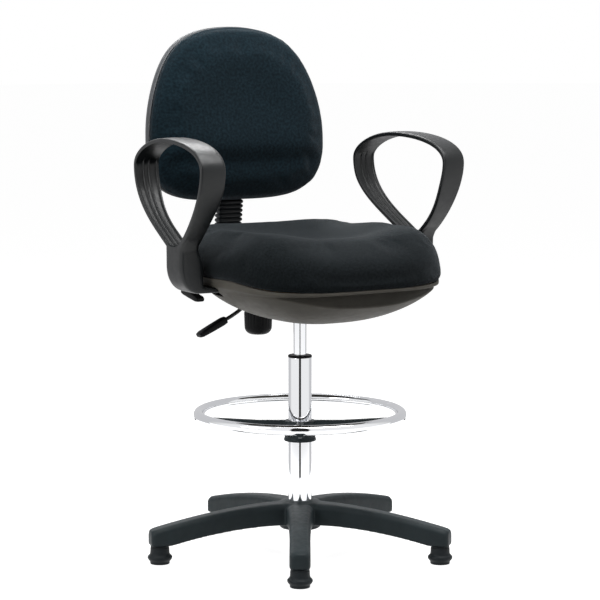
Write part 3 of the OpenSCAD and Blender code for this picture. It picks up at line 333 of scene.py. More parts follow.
# %% Woven cover
def woven(name, dark, light):
    """Plain-weave cloth on the piece's own unrolled UV map, in metres.
"""
    made = Finish(name, dark, 0.95)
    made.set("Sheen Weight", 0.14)
    made.set("Sheen Roughness", 0.45)
    made.set("Sheen Tint", (0.85, 0.92, 1.0, 1))
    made.set("Specular IOR Level", 0.12)
    cloth = made.node("UVMap", uv_map="unrolled").outputs["UV"]
    thread = 0.0016
    inputs = {"Scale": 0.314 / thread, "Distortion": 0.6, "Detail": 1, "Detail Scale": 0.5,
              "Vector": cloth}
    warp, weft = (made.node("TexWave", inputs, wave_type="BANDS", bands_direction=direction)
                  for direction in ("X", "Y"))
    weave = made.math("MULTIPLY", warp.outputs["Fac"], weft.outputs["Fac"])
    slubs, clouds = made.noise(0.006, 3, cloth), made.noise(0.07, 3, cloth)
    tone = made.math("MULTIPLY", made.spread(slubs, 0.2, 1), made.spread(weave, 0.45, 1, 0, 1))
    tone = made.math("MULTIPLY", tone, made.spread(clouds, 0.75, 1))
    made.wire(made.mix(tone, (*dark, 1), (*light, 1)), "Base Color")
    made.wire(made.bump(slubs, 0.0004, 0.35, made.bump(weave, 0.00035, 0.7)), "Normal")
    return made.material


seat_fabric = woven("seat_fabric", srgb(7, 12, 14), srgb(31, 38, 41))
back_fabric = woven("back_fabric", srgb(8, 21, 28), srgb(33, 56, 66))
print("finishes:", len(bpy.data.materials))

# %% Paint the CAD pieces
PAINTED = (
    (base_plastic, "star_base glide_1 glide_2 glide_3 glide_4 glide_5 footring_hub"),
    (steel, "glide_stems tube_foot thrust_race_lower thrust_balls thrust_race_upper piston_head "
            "valve_body tilt_pin lever_pivot_pin mechanism_bolts arm_bolts angle_cam depth_stud "
            "back_screws ring_screws ring_stud"),
    (chrome, "column_tube piston_rod gas_cylinder foot_ring"),
    (black_plastic, "guide_bush height_lever_paddle angle_lever_paddle depth_knob ring_pad_screw "
                    "ring_knob"),
    (spring_steel, "rod_clip pin_clips tilt_spring height_pawl"),
    (bellows_rubber, "cylinder_gland back_bellows"),
    (brass, "valve_pin mechanism_nuts arm_nuts"),
    (black_steel, "mechanism_housing height_lever_rod angle_lever_rod back_carrier back_upright "
                  "back_bracket"),
    (plywood, "seat_board back_board"),
    (pan_plastic, "seat_pan"),
    (seat_fabric, "seat_cushion"),
    (arm_plastic, "arm_right arm_left"),
    (shell_plastic, "back_shell"),
    (back_fabric, "back_cushion"),
)


def paint(piece, material):
    """Gives a piece one material."""
    piece.data.materials.clear()
    piece.data.materials.append(material)
    return piece


for material, nodes in PAINTED:
    for node in nodes.split():
        paint(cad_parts[node], material)
print("painted", sum(len(nodes.split()) for _, nodes in PAINTED), "CAD pieces")

# %% [markdown]
# ## From grid to finished piece
# A cushion's cover is cloth stretched over foam. The shape starts as a closed grid, is remeshed
# into even squares, and is blown up a little by the cloth simulation, which rounds it the way a
# tight cover does. A cap keeps every point close to where it was drawn. The finished cover gets a
# UV map that is the cloth laid flat, in metres.

# %% Helpers for soft pieces
def dressed(piece, body, slot, material, *nodes):
    """Gives a finished piece its material, its body and the CAD nodes it stands for."""
    paint(piece, material)
    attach(piece, body)
    if nodes:
        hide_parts(*nodes)
    return count(piece)


def smoothing(piece, rounds, group=""):
    """Adds a modifier that evens out a piece, or one group of its points, for some rounds."""
    smooth = piece.modifiers.new("smooth", "SMOOTH")
    smooth.vertex_group = group
    smooth.factor = 0.5
    smooth.iterations = rounds


def evened(piece, voxel, rounds=0):
    """Remeshes a closed piece into even squares, then smooths it for some rounds."""
    even = piece.modifiers.new("even", "REMESH")
    even.mode = "VOXEL"
    even.voxel_size = voxel
    if rounds:
        smoothing(piece, rounds)
    return settle(piece)


def grouped(piece, name, chosen):
    """Makes a vertex group of the chosen points."""
    piece.vertex_groups.new(name=name).add(np.flatnonzero(chosen).tolist(), 1.0, "REPLACE")


def puffed(piece, held, cap, voxel):
    """Lets a closed pad swell like a filled cover, with no point moving further than cap.

    held says, from the points, which of them stay where they are."""
    frames, pressure = 20, 4.0
    before = coordinates(evened(piece, voxel))
    grouped(piece, "held", held(before))
    cover = piece.modifiers.new("cover", "CLOTH")
    cover.settings.vertex_group_mass = "held"
    cover.settings.use_pressure = True
    cover.settings.uniform_pressure_force = pressure
    cover.settings.effector_weights.gravity = 0
    for step in range(frames):
        scene.frame_set(step + 1)
    settle(piece)
    scene.frame_set(1)
    move = coordinates(piece) - before
    far = np.linalg.norm(move, axis=1, keepdims=True)
    print(piece.name, "cover moved up to", round(float(far.max()) * 1000, 1), "mm")
    before = before + move * np.minimum(1, cap / np.maximum(far, 1e-9))
    piece.data.vertices.foreach_set("co", before.astype(np.float32).ravel())
    piece.vertex_groups.clear()
    grouped(piece, "loose", ~held(before))
    smoothing(piece, 6, "loose")
    finer = piece.modifiers.new("finer", "SUBSURF")
    finer.levels = finer.render_levels = 1
    return settle(piece)


def reworked(mesh, change):
    """Runs one change on a mesh's faces and edges, and writes the result back."""
    work = bmesh.new()
    work.from_mesh(mesh)
    change(work)
    work.to_mesh(mesh)
    work.free()
    return mesh


def outward(piece):
    """Turns the faces of each closed part of a piece so that they point outwards."""
    reworked(piece.data, lambda work: bmesh.ops.recalc_face_normals(work, faces=work.faces))
    return piece


def joined(pieces):
    """Several objects as one."""
    with bpy.context.temp_override(active_object=pieces[0], selected_editable_objects=pieces):
        bpy.ops.object.join()
    return pieces[0]


def hardened(piece, angle):
    """Smooth shading everywhere but across edges that turn by more than an angle, in degrees."""
    piece.data.set_sharp_from_angle(angle=math.radians(angle))
    return piece


def ring_skin(name, grid):
    """A surface that closes on itself both along its rows and round its columns."""
    rows, columns = grid.shape[:2]
    quads = grid_faces(rows + 1, columns, True) % (rows * columns)
    return mesh_piece(name, grid.reshape(-1, 3), quads)


def cut(piece, cutters):
    """Takes the cutters' volumes out of a closed piece."""
    for cutter in cutters:
        bite = piece.modifiers.new("opening", "BOOLEAN")
        bite.operation = "DIFFERENCE"
        bite.solver = "MANIFOLD"
        bite.object = cutter
    settle(piece)
    for cutter in cutters:
        bpy.data.objects.remove(cutter)
    return piece


def prism(name, outline, low, high):
    """An upright closed block over an outline of (x, y) points."""
    outline = np.asarray(outline, float)
    rings = [np.column_stack([outline, np.full(len(outline), z)]) for z in (low, high)]
    return outward(skin(name, np.array(rings)))


def rectangle(x0, y0, x1, y1):
    """The four corners of a rectangle, from its low corner round to its upper left one."""
    return [(x0, y0), (x1, y0), (x1, y1), (x0, y1)]


def unrolled(piece, flat):
    """A UV map in metres; flat turns the piece's points into places on the laid-out cloth."""
    places = flat(coordinates(piece))
    corner = np.zeros(len(piece.data.loops), np.int32)
    piece.data.loops.foreach_get("vertex_index", corner)
    layer = piece.data.uv_layers.new(name="unrolled")
    layer.data.foreach_set("uv", places[corner].astype(np.float32).ravel())
    return piece


# %% [markdown]
# ## Seat cushion
# A moulded foam seat in one piece of fine woven cloth, pulled tight over its edge. Seen from above
# it is a rounded square. The front edge rolls down in a long soft curve so that it doesn't press
# on the legs, the sides roll more tightly, and the middle is hollowed for the sitter. Every point
# is a direction round the outline and a distance in from it, so one grid covers the whole form.

# %% Seat cushion
seat_half = np.array([0.250, 0.240])
seat_middle = np.array([0.0, -0.026])
seat_square = 3.6
seat_under, seat_held, seat_girth, seat_top = 0.5958, 0.6095, 0.626, 0.690
board_top, board_inset, fit = 0.607, 0.0134, 0.0006


def seat_level(x, y):
    """Height of the seat's top face: a slope that rises to the rear, less a round hollow.

    To that come a rim at the rear, a long soft roll across the front, and sides that stand a
    little higher than the middle, less so towards the rear."""
    back = y - seat_middle[1]
    rise = 0.017 * back / (2 * seat_half[1])
    hollow = 0.015 * np.exp(-((x / 0.15) ** 2) - (((back + 0.01) / 0.13) ** 2))
    rim = 0.007 * ease((back - 0.08) / 0.10)
    roll = 0.009 * np.exp(-(((back + 0.135) / 0.055) ** 2))
    sides = 0.018 * ease((np.abs(x) - 0.05) / 0.15) * (1 - 0.85 * ease((back + 0.02) / 0.16))
    return seat_top + rise - hollow + rim + roll + sides


def seam_lift(x, y):
    """How far the cushion's lower edge stands above the board's underside: it dips at the front."""
    return -0.003 + 0.017 * ease((y + 0.255) / 0.16) + 0.003 * ease((np.abs(x) - 0.08) / 0.12)


def seat_cushion():
    """Rows run from the middle of the underside, out, round the edge, and in over the top.

    The roll is a quarter of a superellipse whose width grows from sides to front."""
    x, y = superellipse(192, seat_square)
    roll_width, roll_power, innermost = 0.068 + 0.05 * ease(-y * 1.15), 2 / 2.25, 0.236
    under = [(inset, seat_under) for inset in (0.235, 0.15, 0.08, 0.03, 0.0138, 0.011)]
    under += [(0.0075, 0.5962), (0.0045, 0.5976), (0.0025, 0.602), (0.001, 0.611)]
    rows = [(inset, height, 0.0) for inset, height in under]
    for turn in np.linspace(0, np.pi / 2, 15):
        inset = roll_width * (1 - np.cos(turn) ** roll_power)
        rows.append((inset, None, np.sin(turn) ** roll_power))
    for share in np.linspace(0, 1, 12)[1:]:
        rows.append((roll_width + (innermost - roll_width) * share, None, 1.0))
    grid = []
    for inset, height, up in rows:
        px = (seat_half[0] - inset) * x + seat_middle[0]
        py = (seat_half[1] - inset) * y + seat_middle[1]
        near_seam = height is None or inset < 0.02
        lift = seam_lift(px, py) if near_seam else 0
        girth = seat_girth + lift
        pz = girth + (seat_level(px, py) - girth) * up if height is None else height + lift
        grid.append(np.stack([px, py, np.broadcast_to(pz, px.shape)], -1))
    return skin("seat_cushion_cover", np.array(grid)[:, ::-1])


def seat_flat(points):
    """Places on the cloth: the plan, plus how far the cloth has run down past the top, outwards."""
    plan = points[:, :2] - seat_middle
    out = np.sign(plan) * (np.abs(plan) / seat_half) ** (seat_square - 1) / seat_half
    out /= np.maximum(np.linalg.norm(out, axis=1, keepdims=True), 1e-6)
    down = np.maximum(seat_level(points[:, 0], points[:, 1]) - points[:, 2], 0)
    return plan + out * down[:, None]


def seat_underside(points):
    """Which points belong to the underside, below the roll of the edge."""
    return points[:, 2] - seam_lift(points[:, 0], points[:, 1]) < seat_held


seat = puffed(seat_cushion(), seat_underside, 0.005, 0.006)
board_plan = np.stack(superellipse(96, seat_square), -1) * (seat_half - board_inset) + seat_middle
cut(seat, [prism("board_recess", board_plan, 0.58, board_top + fit)])
unrolled(seat, seat_flat)
dressed(seat, "lift", "seat_fabric", seat_fabric, "seat_cushion")
print("seat top at", round(float(coordinates(seat)[:, 2].max()), 4))

# %% [markdown]
# ## Backrest cushion
# The back pad is a tall rounded shape, widest near the elbows. Its face is crowned, bows to the
# rear towards the top, and swells at the small of the back, with a soft crease below the swelling
# where the cover is drawn back to the foam. The same grid idea serves: direction round the
# outline, distance in from it.

# %% Backrest outline
back_low, back_tall, back_half = 0.743, 0.384, 0.224
back_middle = back_low + back_tall * 0.36
lumbar = back_low + back_tall * 0.31
back_front, back_board, back_rear = 0.232, 0.250, 0.260
sheet_edge, recess_edge = 0.0095, 0.0084


def back_outline():
    """The backrest's outline in X and Z: two cubic curves on one side, mirrored to the other."""
    w, low, h = back_half, back_low, back_tall
    top, widest = (0, low + h), (w, low + h * 0.34)
    lower = bezier([(0, low), (w * 0.81, low - 0.002), (w, low + h * 0.085), widest], 40)
    upper = bezier([widest, (w * 0.995, low + h * 0.79), (w * 0.77, low + h), top], 48)
    right = np.concatenate([lower, upper, [top]])
    # It narrows a little towards the top, and its lower edge is nearly straight across the middle.
    z = right[:, 1]
    right[:, 0] *= 0.985 - 0.050 * ease((z - 0.90) / 0.17)
    right[:, 1] += 0.0045 * ease((low + 0.05 - z) / 0.05) * np.exp(-((right[:, 0] / 0.13) ** 2))
    left = right[-2:0:-1] * (-1, 1)
    return np.concatenate([right, left])


def back_inset(inset):
    """The outline drawn in towards the backrest's middle by a distance."""
    middle = np.array([0, back_middle])
    return middle + (back_outline() - middle) * (1 - inset / back_half)


def bow(z):
    """How far the backrest has curved to the rear at a height, from its foremost line."""
    return 0.028 * (np.abs(z - lumbar) / (back_low + back_tall - lumbar)) ** 1.6


def back_row(inset, y, curve=bow):
    """The outline drawn in by inset, standing at y and curved to the rear."""
    plan = back_inset(inset)
    return np.stack([plan[:, 0], y + curve(plan[:, 1]), plan[:, 1]], -1)


def swelling(x, z):
    """How far the small-of-the-back pad stands forward: steep below its crest, long above it."""
    crest = lumbar + 0.008
    below = np.exp(-(((z - crest) / 0.021) ** 2))
    above = np.exp(-(((z - crest) / 0.050) ** 2))
    crease = np.exp(-(((z - crest + 0.037) / 0.014) ** 2))
    across = np.clip(1 - (np.abs(x) / 0.205) ** 4, 0, 1)
    hollow = np.exp(-((x / 0.12) ** 2) - ((z - 1.0) / 0.075) ** 2)
    return across * (0.0065 * np.where(z > crest, above, below) - 0.0042 * crease) - 0.006 * hollow


def back_cushion():
    """Rows run from the middle of the rear face, out, round the edge, and in over the front."""
    start, roll_width, roll_power = back_board - 0.004, 0.125, 2 / 3.1
    depth = start - (back_front - 0.021)
    rows = [(inset, back_rear) for inset in (0.215, 0.14, 0.07, 0.02, 0.007)]
    rows += [(0.0045, back_rear - 0.0006), (0.0025, back_rear - 0.003), (0.0012, start)]
    for turn in np.linspace(0, np.pi / 2, 16)[1:]:
        inset = 0.0012 + roll_width * (1 - np.cos(turn) ** roll_power)
        rows.append((inset, start - depth * np.sin(turn) ** roll_power))
    rows += [(inset, start - depth) for inset in (0.14, 0.16, 0.18, 0.2, 0.215)]
    points = np.array([back_row(inset, y) for inset, y in rows])
    front = ease((np.arange(len(rows)) - 9) / 7)[:, None]
    points[:, :, 1] -= swelling(points[:, :, 0], points[:, :, 2]) * front
    return skin("back_cushion_cover", points)


def back_flat(points):
    """Places on the cloth: width and height, carried outwards by what lies behind the face."""
    plan = points[:, [0, 2]] - (0, back_middle)
    out = plan / np.maximum(np.linalg.norm(plan, axis=1, keepdims=True), 1e-6)
    gone = np.maximum(points[:, 1] - bow(points[:, 2]) - back_front, 0)
    return plan + out * gone[:, None]


def board_bow(z):
    """The board follows the cushion's bow above its foremost line and is flat below it."""
    return bow(np.maximum(z, lumbar))


def board_block(name, edge, front, thick):
    """A block over the board's outline: the inset of its edge, its front's place, its thickness."""
    insets = (0.2, 0.16, 0.13, 0.1, 0.08, 0.06, 0.04, 0.025, edge)
    rings = [back_row(inset, front, board_bow) for inset in insets]
    rings += [back_row(inset, front + thick, board_bow) for inset in insets[::-1]]
    return outward(skin(name, np.array(rings)))


def back_pinned(points):
    """Which points belong to the rear, behind the foam's roll."""
    return points[:, 1] - bow(points[:, 2]) > back_board - 0.006


back = puffed(back_cushion(), back_pinned, 0.004, 0.005)
cut(back, [board_block("back_board_recess", recess_edge, back_board - fit, 0.03)])
unrolled(back, back_flat)
dressed(back, "backrest", "back_fabric", back_fabric, "back_cushion")
board_thick = back_rear - back_board - 0.0014
board = board_block("back_board_sheet", sheet_edge, back_board, board_thick)
dressed(board, "backrest", "plywood", plywood, "back_board")

# %% [markdown]
# ## Seat pan
# The pan is one thin moulding under the seat: a stepped rim that the cushion sits in, and a smooth
# belly that hides the mechanism. The belly is a height over the plan, so the outer face is found
# by walking out from the belly's middle in every direction. More rows lead back over the inner
# face, a wall's thickness above the outer one, and the openings are cut afterwards.

# %% Seat pan
arm_gap, arm_width, arm_toe = 0.525, 0.055, math.radians(3.8)
arm_forward = 0.012
arm_middle = arm_gap / 2 + arm_width / 2
pan_rim_top, pan_floor, pan_wall = 0.595, 0.582, 0.003
belly_half = np.array([0.230, 0.200])
belly_middle = np.array([0.0, -0.080])
belly_deep, belly_square = 0.072, 2.6


def beside_arm(points):
    """Plan points near an arm, from the arm's own place to the chair's, for the +X side."""
    c, s = math.cos(arm_toe), math.sin(arm_toe)
    x, y = points[..., 0], points[..., 1]
    return np.stack([arm_middle + x * c - y * s, -arm_forward + x * s + y * c], -1)


def seat_pan():
    """Rows walk out from the belly's middle: over the belly, over the flat floor, up the rim."""
    rim = np.stack(superellipse(720, seat_square), -1) * (seat_half - 0.005) + seat_middle
    away = rim - belly_middle
    turn = np.unwrap(np.arctan2(away[:, 1], away[:, 0]))
    order = np.linspace(turn[0], turn[0] + 2 * np.pi, 240, endpoint=False)
    far = np.linalg.norm(away, axis=1)
    reach = np.interp(order, np.append(turn, turn[0] + 2 * np.pi), np.append(far, far[0]))
    direction = np.stack([np.cos(order), np.sin(order)], -1)
    belly = (np.abs(direction / belly_half) ** belly_square).sum(1) ** (-1 / belly_square)
    step, rim_foot = 0.010, 0.5838
    edge = np.minimum(belly, reach - step)

    def row(out, height):
        """One row at a distance out from the belly's middle, at one height or at many."""
        place = belly_middle + direction * out[:, None]
        return np.column_stack([place, np.broadcast_to(height, out.shape)])

    rows = []
    for share in np.sin(np.linspace(0.06, np.pi / 2, 34)):
        rho = np.minimum(edge * share / belly, 1)
        rows.append(row(edge * share, pan_floor - belly_deep * (1 - rho**2.3) ** 0.85))
    for share in (0.2, 0.45, 0.7, 0.9):
        rows.append(row(edge + (reach - step - edge) * share, pan_floor + 0.0042 * share**2))
    edge_plan = belly_middle + direction * reach[:, None]
    lift = seam_lift(edge_plan[:, 0], edge_plan[:, 1])
    # The inner face follows the outer one a wall's thickness above it, so that it can't fold.
    inner = np.array(rows) + (0, 0, pan_wall)
    for inset, height in ((0.0075, 0.5868), (0.0040, 0.5876), (0.0016, 0.5884), (0.0004, 0.5895),
                          (0, 0.5910), (0, 0.5930), (0.0002, 0.5946), (0.001, 0.5956)):
        share = np.clip((height - rim_foot) / (pan_rim_top - rim_foot), 0, 1)
        rows.append(row(reach - inset, height + lift * share))
    raised = np.maximum(lift, 0)
    lip = [row(reach - inset, pan_floor + up) for inset, up in (
        (0.0115, 0.0076), (0.0115, 0.0100), (0.0110, 0.0122), (0.0078, 0.0124),
        (0.0078, 0.0128 + raised * 0.95), (0.0070, 0.0136 + raised))]
    whole = np.concatenate([rows, lip[::-1], inner[::-1]])
    return skin("seat_pan_moulding", whole[:, ::-1])


arm_notch = beside_arm(np.array(rectangle(-0.1405, -0.0392, 0.05, 0.0392)))
pan = cut(outward(seat_pan()), [
    prism("column_hole", np.stack(superellipse(48, 2), -1) * 0.022, 0.49, 0.57),
    prism("rear_opening", rectangle(-0.0402, 0.039, 0.0402, 0.155), 0.5, 0.587),
    prism("lever_slot", rectangle(-0.168, -0.007, -0.126, 0.007), 0.5, 0.583),
    prism("left_notch", arm_notch, 0.575, 0.5952),
    prism("right_notch", (arm_notch * (-1, 1))[::-1], 0.575, 0.5952),
])
dressed(pan, "lift", "pan_plastic", pan_plastic, "seat_pan")

# %% [markdown]
# ## Rear shell
# A thin moulded shell closes the back of the backrest. Its wall runs straight back from the
# cushion's edge, where it shows as a fine light line from the front, and then rounds over into a
# nearly flat face with a mouth at the bottom for the upright. That light line is partly painted
# highlight: the shell's grey is raised to stand in for the light falling on its edge.

# %% Rear shell
def back_shell():
    """Rings of the backrest's outline: outside from the rear's middle forward, then back inside."""
    start, wall = back_rear + fit, 0.0028
    outer = [(0.0012, 0.0), (0.0003, 0.0015), (0.0, 0.004), (0.0006, 0.010), (0.0025, 0.016),
             (0.006, 0.022), (0.012, 0.028), (0.021, 0.033), (0.034, 0.0375), (0.052, 0.041),
             (0.076, 0.0432), (0.11, 0.0438), (0.16, 0.0438)]
    rows = [back_row(inset, start + gone) for inset, gone in outer[::-1]]
    rows += [back_row(inset + wall, start + max(gone - 0.0026, 0)) for inset, gone in outer]
    return skin("back_shell_moulding", np.array(rows)[:, ::-1])


mouth = prism("upright_mouth", rectangle(-0.032, 0.259, 0.032, 0.2985), 0.72, 0.773)
shell = cut(outward(back_shell()), [mouth])
dressed(shell, "backrest", "shell_plastic", shell_plastic, "back_shell")

# %% [markdown]
# ## Arms
# Each arm is one moulding: a closed loop whose band is a shallow channel on its inner face, with
# two ribs along the middle of each leg, and a foot that bends in under the seat. The loop is a
# section carried round a closed path. The channel fades out under the top pad, where the hand and
# the forearm rest on a plain smooth face.

# %% The loop's path
arm_low = 0.672
loop_long, loop_tall, band = 0.321, 0.228, 0.010
foot_long = 0.075
flange_low, flange_high = 0.5827, 0.5947
flange_end = -0.138
foot_top, bend_top = 0.655, 0.640


def loop_path(steps):
    """The loop's outer outline in Y and Z as one closed run of cubic curves."""
    high = arm_low + loop_tall
    wide = high - loop_tall * 0.27
    front, rear = -loop_long * 0.42, loop_long * 0.58
    top = rear - loop_long * 0.46
    foot = foot_long * 0.4
    near, under = arm_low + 0.004, arm_low - 0.005
    controls = [
        (top, high), (top - 0.070, high), (front, wide + 0.048),
        (front, wide), (front, wide - 0.062), (-foot * 2.25, arm_low + 0.029),
        (-foot, near), (-foot * 0.5, under), (foot * 0.5, under),
        (foot, near), (foot * 3, arm_low + 0.040), (rear, wide - 0.084),
        (rear, wide), (rear, wide + 0.032), (top + 0.076, high), (top, high),
    ]
    path = np.concatenate([bezier(controls[k : k + 4], 80) for k in range(0, 15, 3)])
    # Even spacing along the path, then light smoothing where the curves meet.
    ring = np.concatenate([path, path[:1]])
    gone = np.concatenate([[0], np.cumsum(np.linalg.norm(np.diff(ring, axis=0), axis=1))])
    even = np.linspace(0, gone[-1], steps, endpoint=False)
    path = np.stack([np.interp(even, gone, ring[:, k]) for k in (0, 1)], -1)
    for _ in range(6):
        path = path * 0.5 + (np.roll(path, 1, 0) + np.roll(path, -1, 0)) * 0.25
    return path


arm_path = loop_path(420)


def band_section():
    """The band's section, round its outline once.

    Columns are across, plain depth, and how much deeper the face lies where the channel is cut."""
    half, r, small = arm_width / 2, 0.0032, 0.0016
    w = np.linspace(0, np.pi / 2, 6)
    crown = [(x, 0.0012 * (x / half) ** 2, 0) for x in np.linspace(-half + r, half - r, 15)]
    right = [(half - r + r * np.sin(a), 0.0012 + r - r * np.cos(a), 0) for a in w[1:]]
    right += [(half, band * 0.5, 0)]
    right += [(half - small + small * np.cos(a), band - small + small * np.sin(a), 0) for a in w]
    channel = [(x, band, share) for x, share in (
        (half - 0.0042, 0), (half - 0.0048, 0.12), (half - 0.0054, 0.85), (half - 0.0062, 1),
        (0.016, 1), (0.012, 1), (0.0092, 1), (0.0084, 0.9), (0.0079, 0.35), (0.0070, 0.22),
        (0.0056, 0.22), (0.0047, 0.35), (0.0042, 0.8), (0.003, 0.92), (0, 0.95))]
    left = [(-x, depth, share) for x, depth, share in (right + channel)[::-1] if x > 0]
    return np.array(crown + right + channel + left)


def narrowed(across, z):
    """The band draws in towards its outer face on its way to the foot, and widens again below."""
    low = ease((arm_low + 0.13 - z) / 0.10) * ease((z - 0.635) / 0.05)
    half = arm_width / 2
    return half - (half - across) * (1 - 0.22 * low)


def arm_loop():
    """The section carried along the path: across stays in X, depth goes in along the normal."""
    path = arm_path
    along = np.roll(path, -1, 0) - np.roll(path, 1, 0)
    inward = np.stack([-along[:, 1], along[:, 0]], -1) / np.linalg.norm(along, axis=1)[:, None]
    if ((path.mean(0) - path) * inward).sum() < 0:
        inward = -inward
    section = band_section()
    channel_deep = 0.0038
    plain = ease((path[:, 1] - (arm_low + loop_tall - 0.075)) / 0.040)
    depth = section[None, :, 1] - channel_deep * section[None, :, 2] * (1 - plain[:, None])
    places = path[:, None, :] + inward[:, None, :] * depth[:, :, None]
    across = narrowed(np.broadcast_to(section[:, 0], depth.shape), path[:, None, 1])
    return np.stack([across, places[..., 0], places[..., 1]], -1)


# %% The arm's foot
def foot_reach(z, front):
    """How far the foot runs forward or back at a height, easing into the loop's leg above it."""
    leg = arm_path[arm_path[:, 0] * (-1 if front else 1) > 0]
    leg = leg[leg[:, 1] < arm_low + 0.12]
    leg = leg[np.argsort(leg[:, 1])]
    out = np.interp(z, leg[:, 1], np.abs(leg[:, 0])) - 0.0009
    out = np.where(z < leg[0, 1], 0, out)
    near, fill = (0.024, 1.0) if front else (0.004, 0.3)
    straight = foot_long / 2
    gap = np.clip(0.5 + 0.5 * (out - straight) / near, 0, 1)
    return straight * (1 - gap) + out * gap + near * gap * (1 - gap) * fill


def band_line(y):
    """Height of the middle of the band under the hand gap, over the foot."""
    low = arm_path[arm_path[:, 1] < arm_low + 0.07]
    low = low[np.argsort(low[:, 0])]
    return np.interp(y, low[:, 0], low[:, 1]) + 0.0045


def foot_bend(s):
    """The points on the outer and the inner side of the bend, s of the way to the flange's end."""
    half, bend, fillet = arm_width / 2, 0.046, 0.008
    a, q = (s - 0.12) / 0.48 * np.pi / 2, (s - 0.6) / 0.4
    if s < 0.12:
        outer = half, foot_top + (bend_top - foot_top) * s / 0.12
    elif s < 0.6:
        outer = (half - bend + bend * np.cos(a) ** 0.93,
                 bend_top - (bend_top - flange_low) * np.sin(a) ** 0.93)
    else:
        outer = (half - bend) * (1 - q) + flange_end * q, flange_low
    a = (s - 0.42) / 0.18 * np.pi / 2
    if s < 0.42:
        inner = -half, foot_top + (flange_high + fillet - foot_top) * s / 0.42
    elif s < 0.6:
        inner = -half - fillet + fillet * np.cos(a), flange_high + fillet - fillet * np.sin(a)
    else:
        inner = (-half - fillet) * (1 - q) + flange_end * q, flange_high
    return np.array(outer), np.array(inner)


def arm_foot():
    """A superellipse in X and Y, carried down from the band, round the bend, in under the seat."""
    half = arm_width / 2
    ux, uy = superellipse(96, 7)
    ux, uy = ux * (1 - 0.035 * np.abs(uy) ** 6), uy * (1 - 0.010 * np.abs(ux) ** 6)

    def reach(z):
        """How far the foot runs from its middle at a height, by the side that a point is on."""
        return np.where(uy < 0, uy * foot_reach(z, True), uy * foot_reach(z, False))

    rows = []
    # Upper part: from the band down to the straight foot.
    y = uy * 0.045
    for _ in range(8):
        z_top = np.minimum(band_line(y), np.where(uy < 0, arm_low + 0.030, arm_low + 0.020))
        y = reach(z_top)
    for share in (0.03, 0.2, 0.4, 0.6, 0.8, 0.94):
        z = np.minimum(band_line(y * share), z_top)
        rows.append(np.stack([narrowed(ux * half * share, z), y * share, z], -1))
    for share in np.linspace(1, 0, 14):
        z = foot_top + (z_top - foot_top) * share
        rows.append(np.stack([narrowed(ux * half, z) - 0.0002 * ux, reach(z), z], -1))
    # Lower part: the section spans from the outer to the inner side of the bend.
    for s in np.linspace(0.04, 1, 40):
        outer, inner = foot_bend(s)
        middle, span = (outer + inner) / 2, (outer - inner) / 2
        height = middle[1] + span[1] * ux
        across = narrowed(middle[0] + span[0] * ux, height)
        rows.append(np.stack([across, uy * foot_long / 2, height], -1))
    return np.array(rows)


def put_arm(grid, side):
    """Moves a grid from the arm's own place to one side of the chair."""
    plan = beside_arm(grid[..., :2])
    return np.stack([plan[..., 0] * side, plan[..., 1], grid[..., 2]], -1)


def make_arm(name, side):
    """The loop and its foot as one object."""
    loop, foot = (put_arm(grid, side)[:, ::-side] for grid in (arm_loop(), arm_foot()))
    return outward(joined([ring_skin(name, loop), skin(name + "_foot", foot)]))


for side, name in ((-1, "arm_right"), (1, "arm_left")):
    dressed(make_arm(name + "_moulding", side), "lift", "arm_plastic", arm_plastic, name)

# %% [markdown]
# ## Star base
# The base is one heavy moulding. Each leg is a six-sided bar that tapers and sinks towards its
# foot, with a flat along its top, and all five run into the hub with soft fillets. The bars and
# the hub are built as plain solids, merged by remeshing, and smoothed, which rounds the edges and
# fills the inner corners. The hollows underneath and the tube's seat are cut after that.

# %% Legs and hub
hub_top, hub_low, hub_radius = 0.119, 0.058, 0.044
foot_circle, leg_count, first_leg = 0.311, 5, math.radians(237)
glide_neck, leg_half = 0.0205, 0.0215
leg_tip = foot_circle + leg_half
leg_angles = first_leg + np.arange(leg_count) * 2 * np.pi / leg_count
leg_feet = [(foot_circle * math.cos(a), foot_circle * math.sin(a)) for a in leg_angles]


def leg_share(r):
    """0 at the hub and 1 at the leg's tip."""
    return np.clip((r - hub_radius) / (leg_tip - hub_radius), 0, 1)


def leg_rings(steps, start, stop, wall=0.0):
    """Six corners of a leg's section at each distance out.

    A wall draws the section in; without one the leg ends in a rounded tip past stop."""
    r, past = np.linspace(start, stop, steps), np.zeros(steps)
    if not wall:
        end = np.sin(np.radians([0, 20, 40, 60, 78, 90]))
        r = np.concatenate([r[:-1], stop + (leg_tip - stop) * end])
        past = np.clip((r - stop) / (leg_tip - stop), 0, 1)
    share = leg_share(r)
    half = leg_half + 0.007 * (1 - share) ** 5 - wall - 0.0085 * (1 - np.sqrt(1 - past**2))
    flat = 0.0135 * half / leg_half
    high = 0.073 + 0.042 * (1 - share**1.7) - wall - 0.002 * past**2
    arch = np.clip((r - hub_radius) / (foot_circle - glide_neck - hub_radius), 0, 1)
    low = 0.069 - 0.030 * arch**2 - wall
    side = high - 0.008
    corners = [(half, low), (half, side), (flat, high), (-flat, high), (-half, side), (-half, low)]
    return np.stack([np.stack([r, y, z], -1) for y, z in corners], 1)


def turned(grid, angle):
    """A grid turned about the column."""
    c, s = math.cos(angle), math.sin(angle)
    x, y = grid[..., 0], grid[..., 1]
    return np.stack([x * c - y * s, x * s + y * c, grid[..., 2]], -1)


def spun(profile, round_count, middle=(0.0, 0.0)):
    """The grid of a profile of (radius, height) points turned once about an upright axis."""
    profile = np.asarray(profile, float)
    w = np.linspace(0, 2 * np.pi, round_count, endpoint=False)
    x = middle[0] + np.outer(profile[:, 0], np.cos(w))
    y = middle[1] + np.outer(profile[:, 0], np.sin(w))
    return np.stack([x, y, np.repeat(profile[:, 1:], round_count, 1)], -1)


def lathe(name, profile, round_count, middle=(0.0, 0.0)):
    """A turned solid."""
    return skin(name, spun(profile, round_count, middle)[:, ::-1])


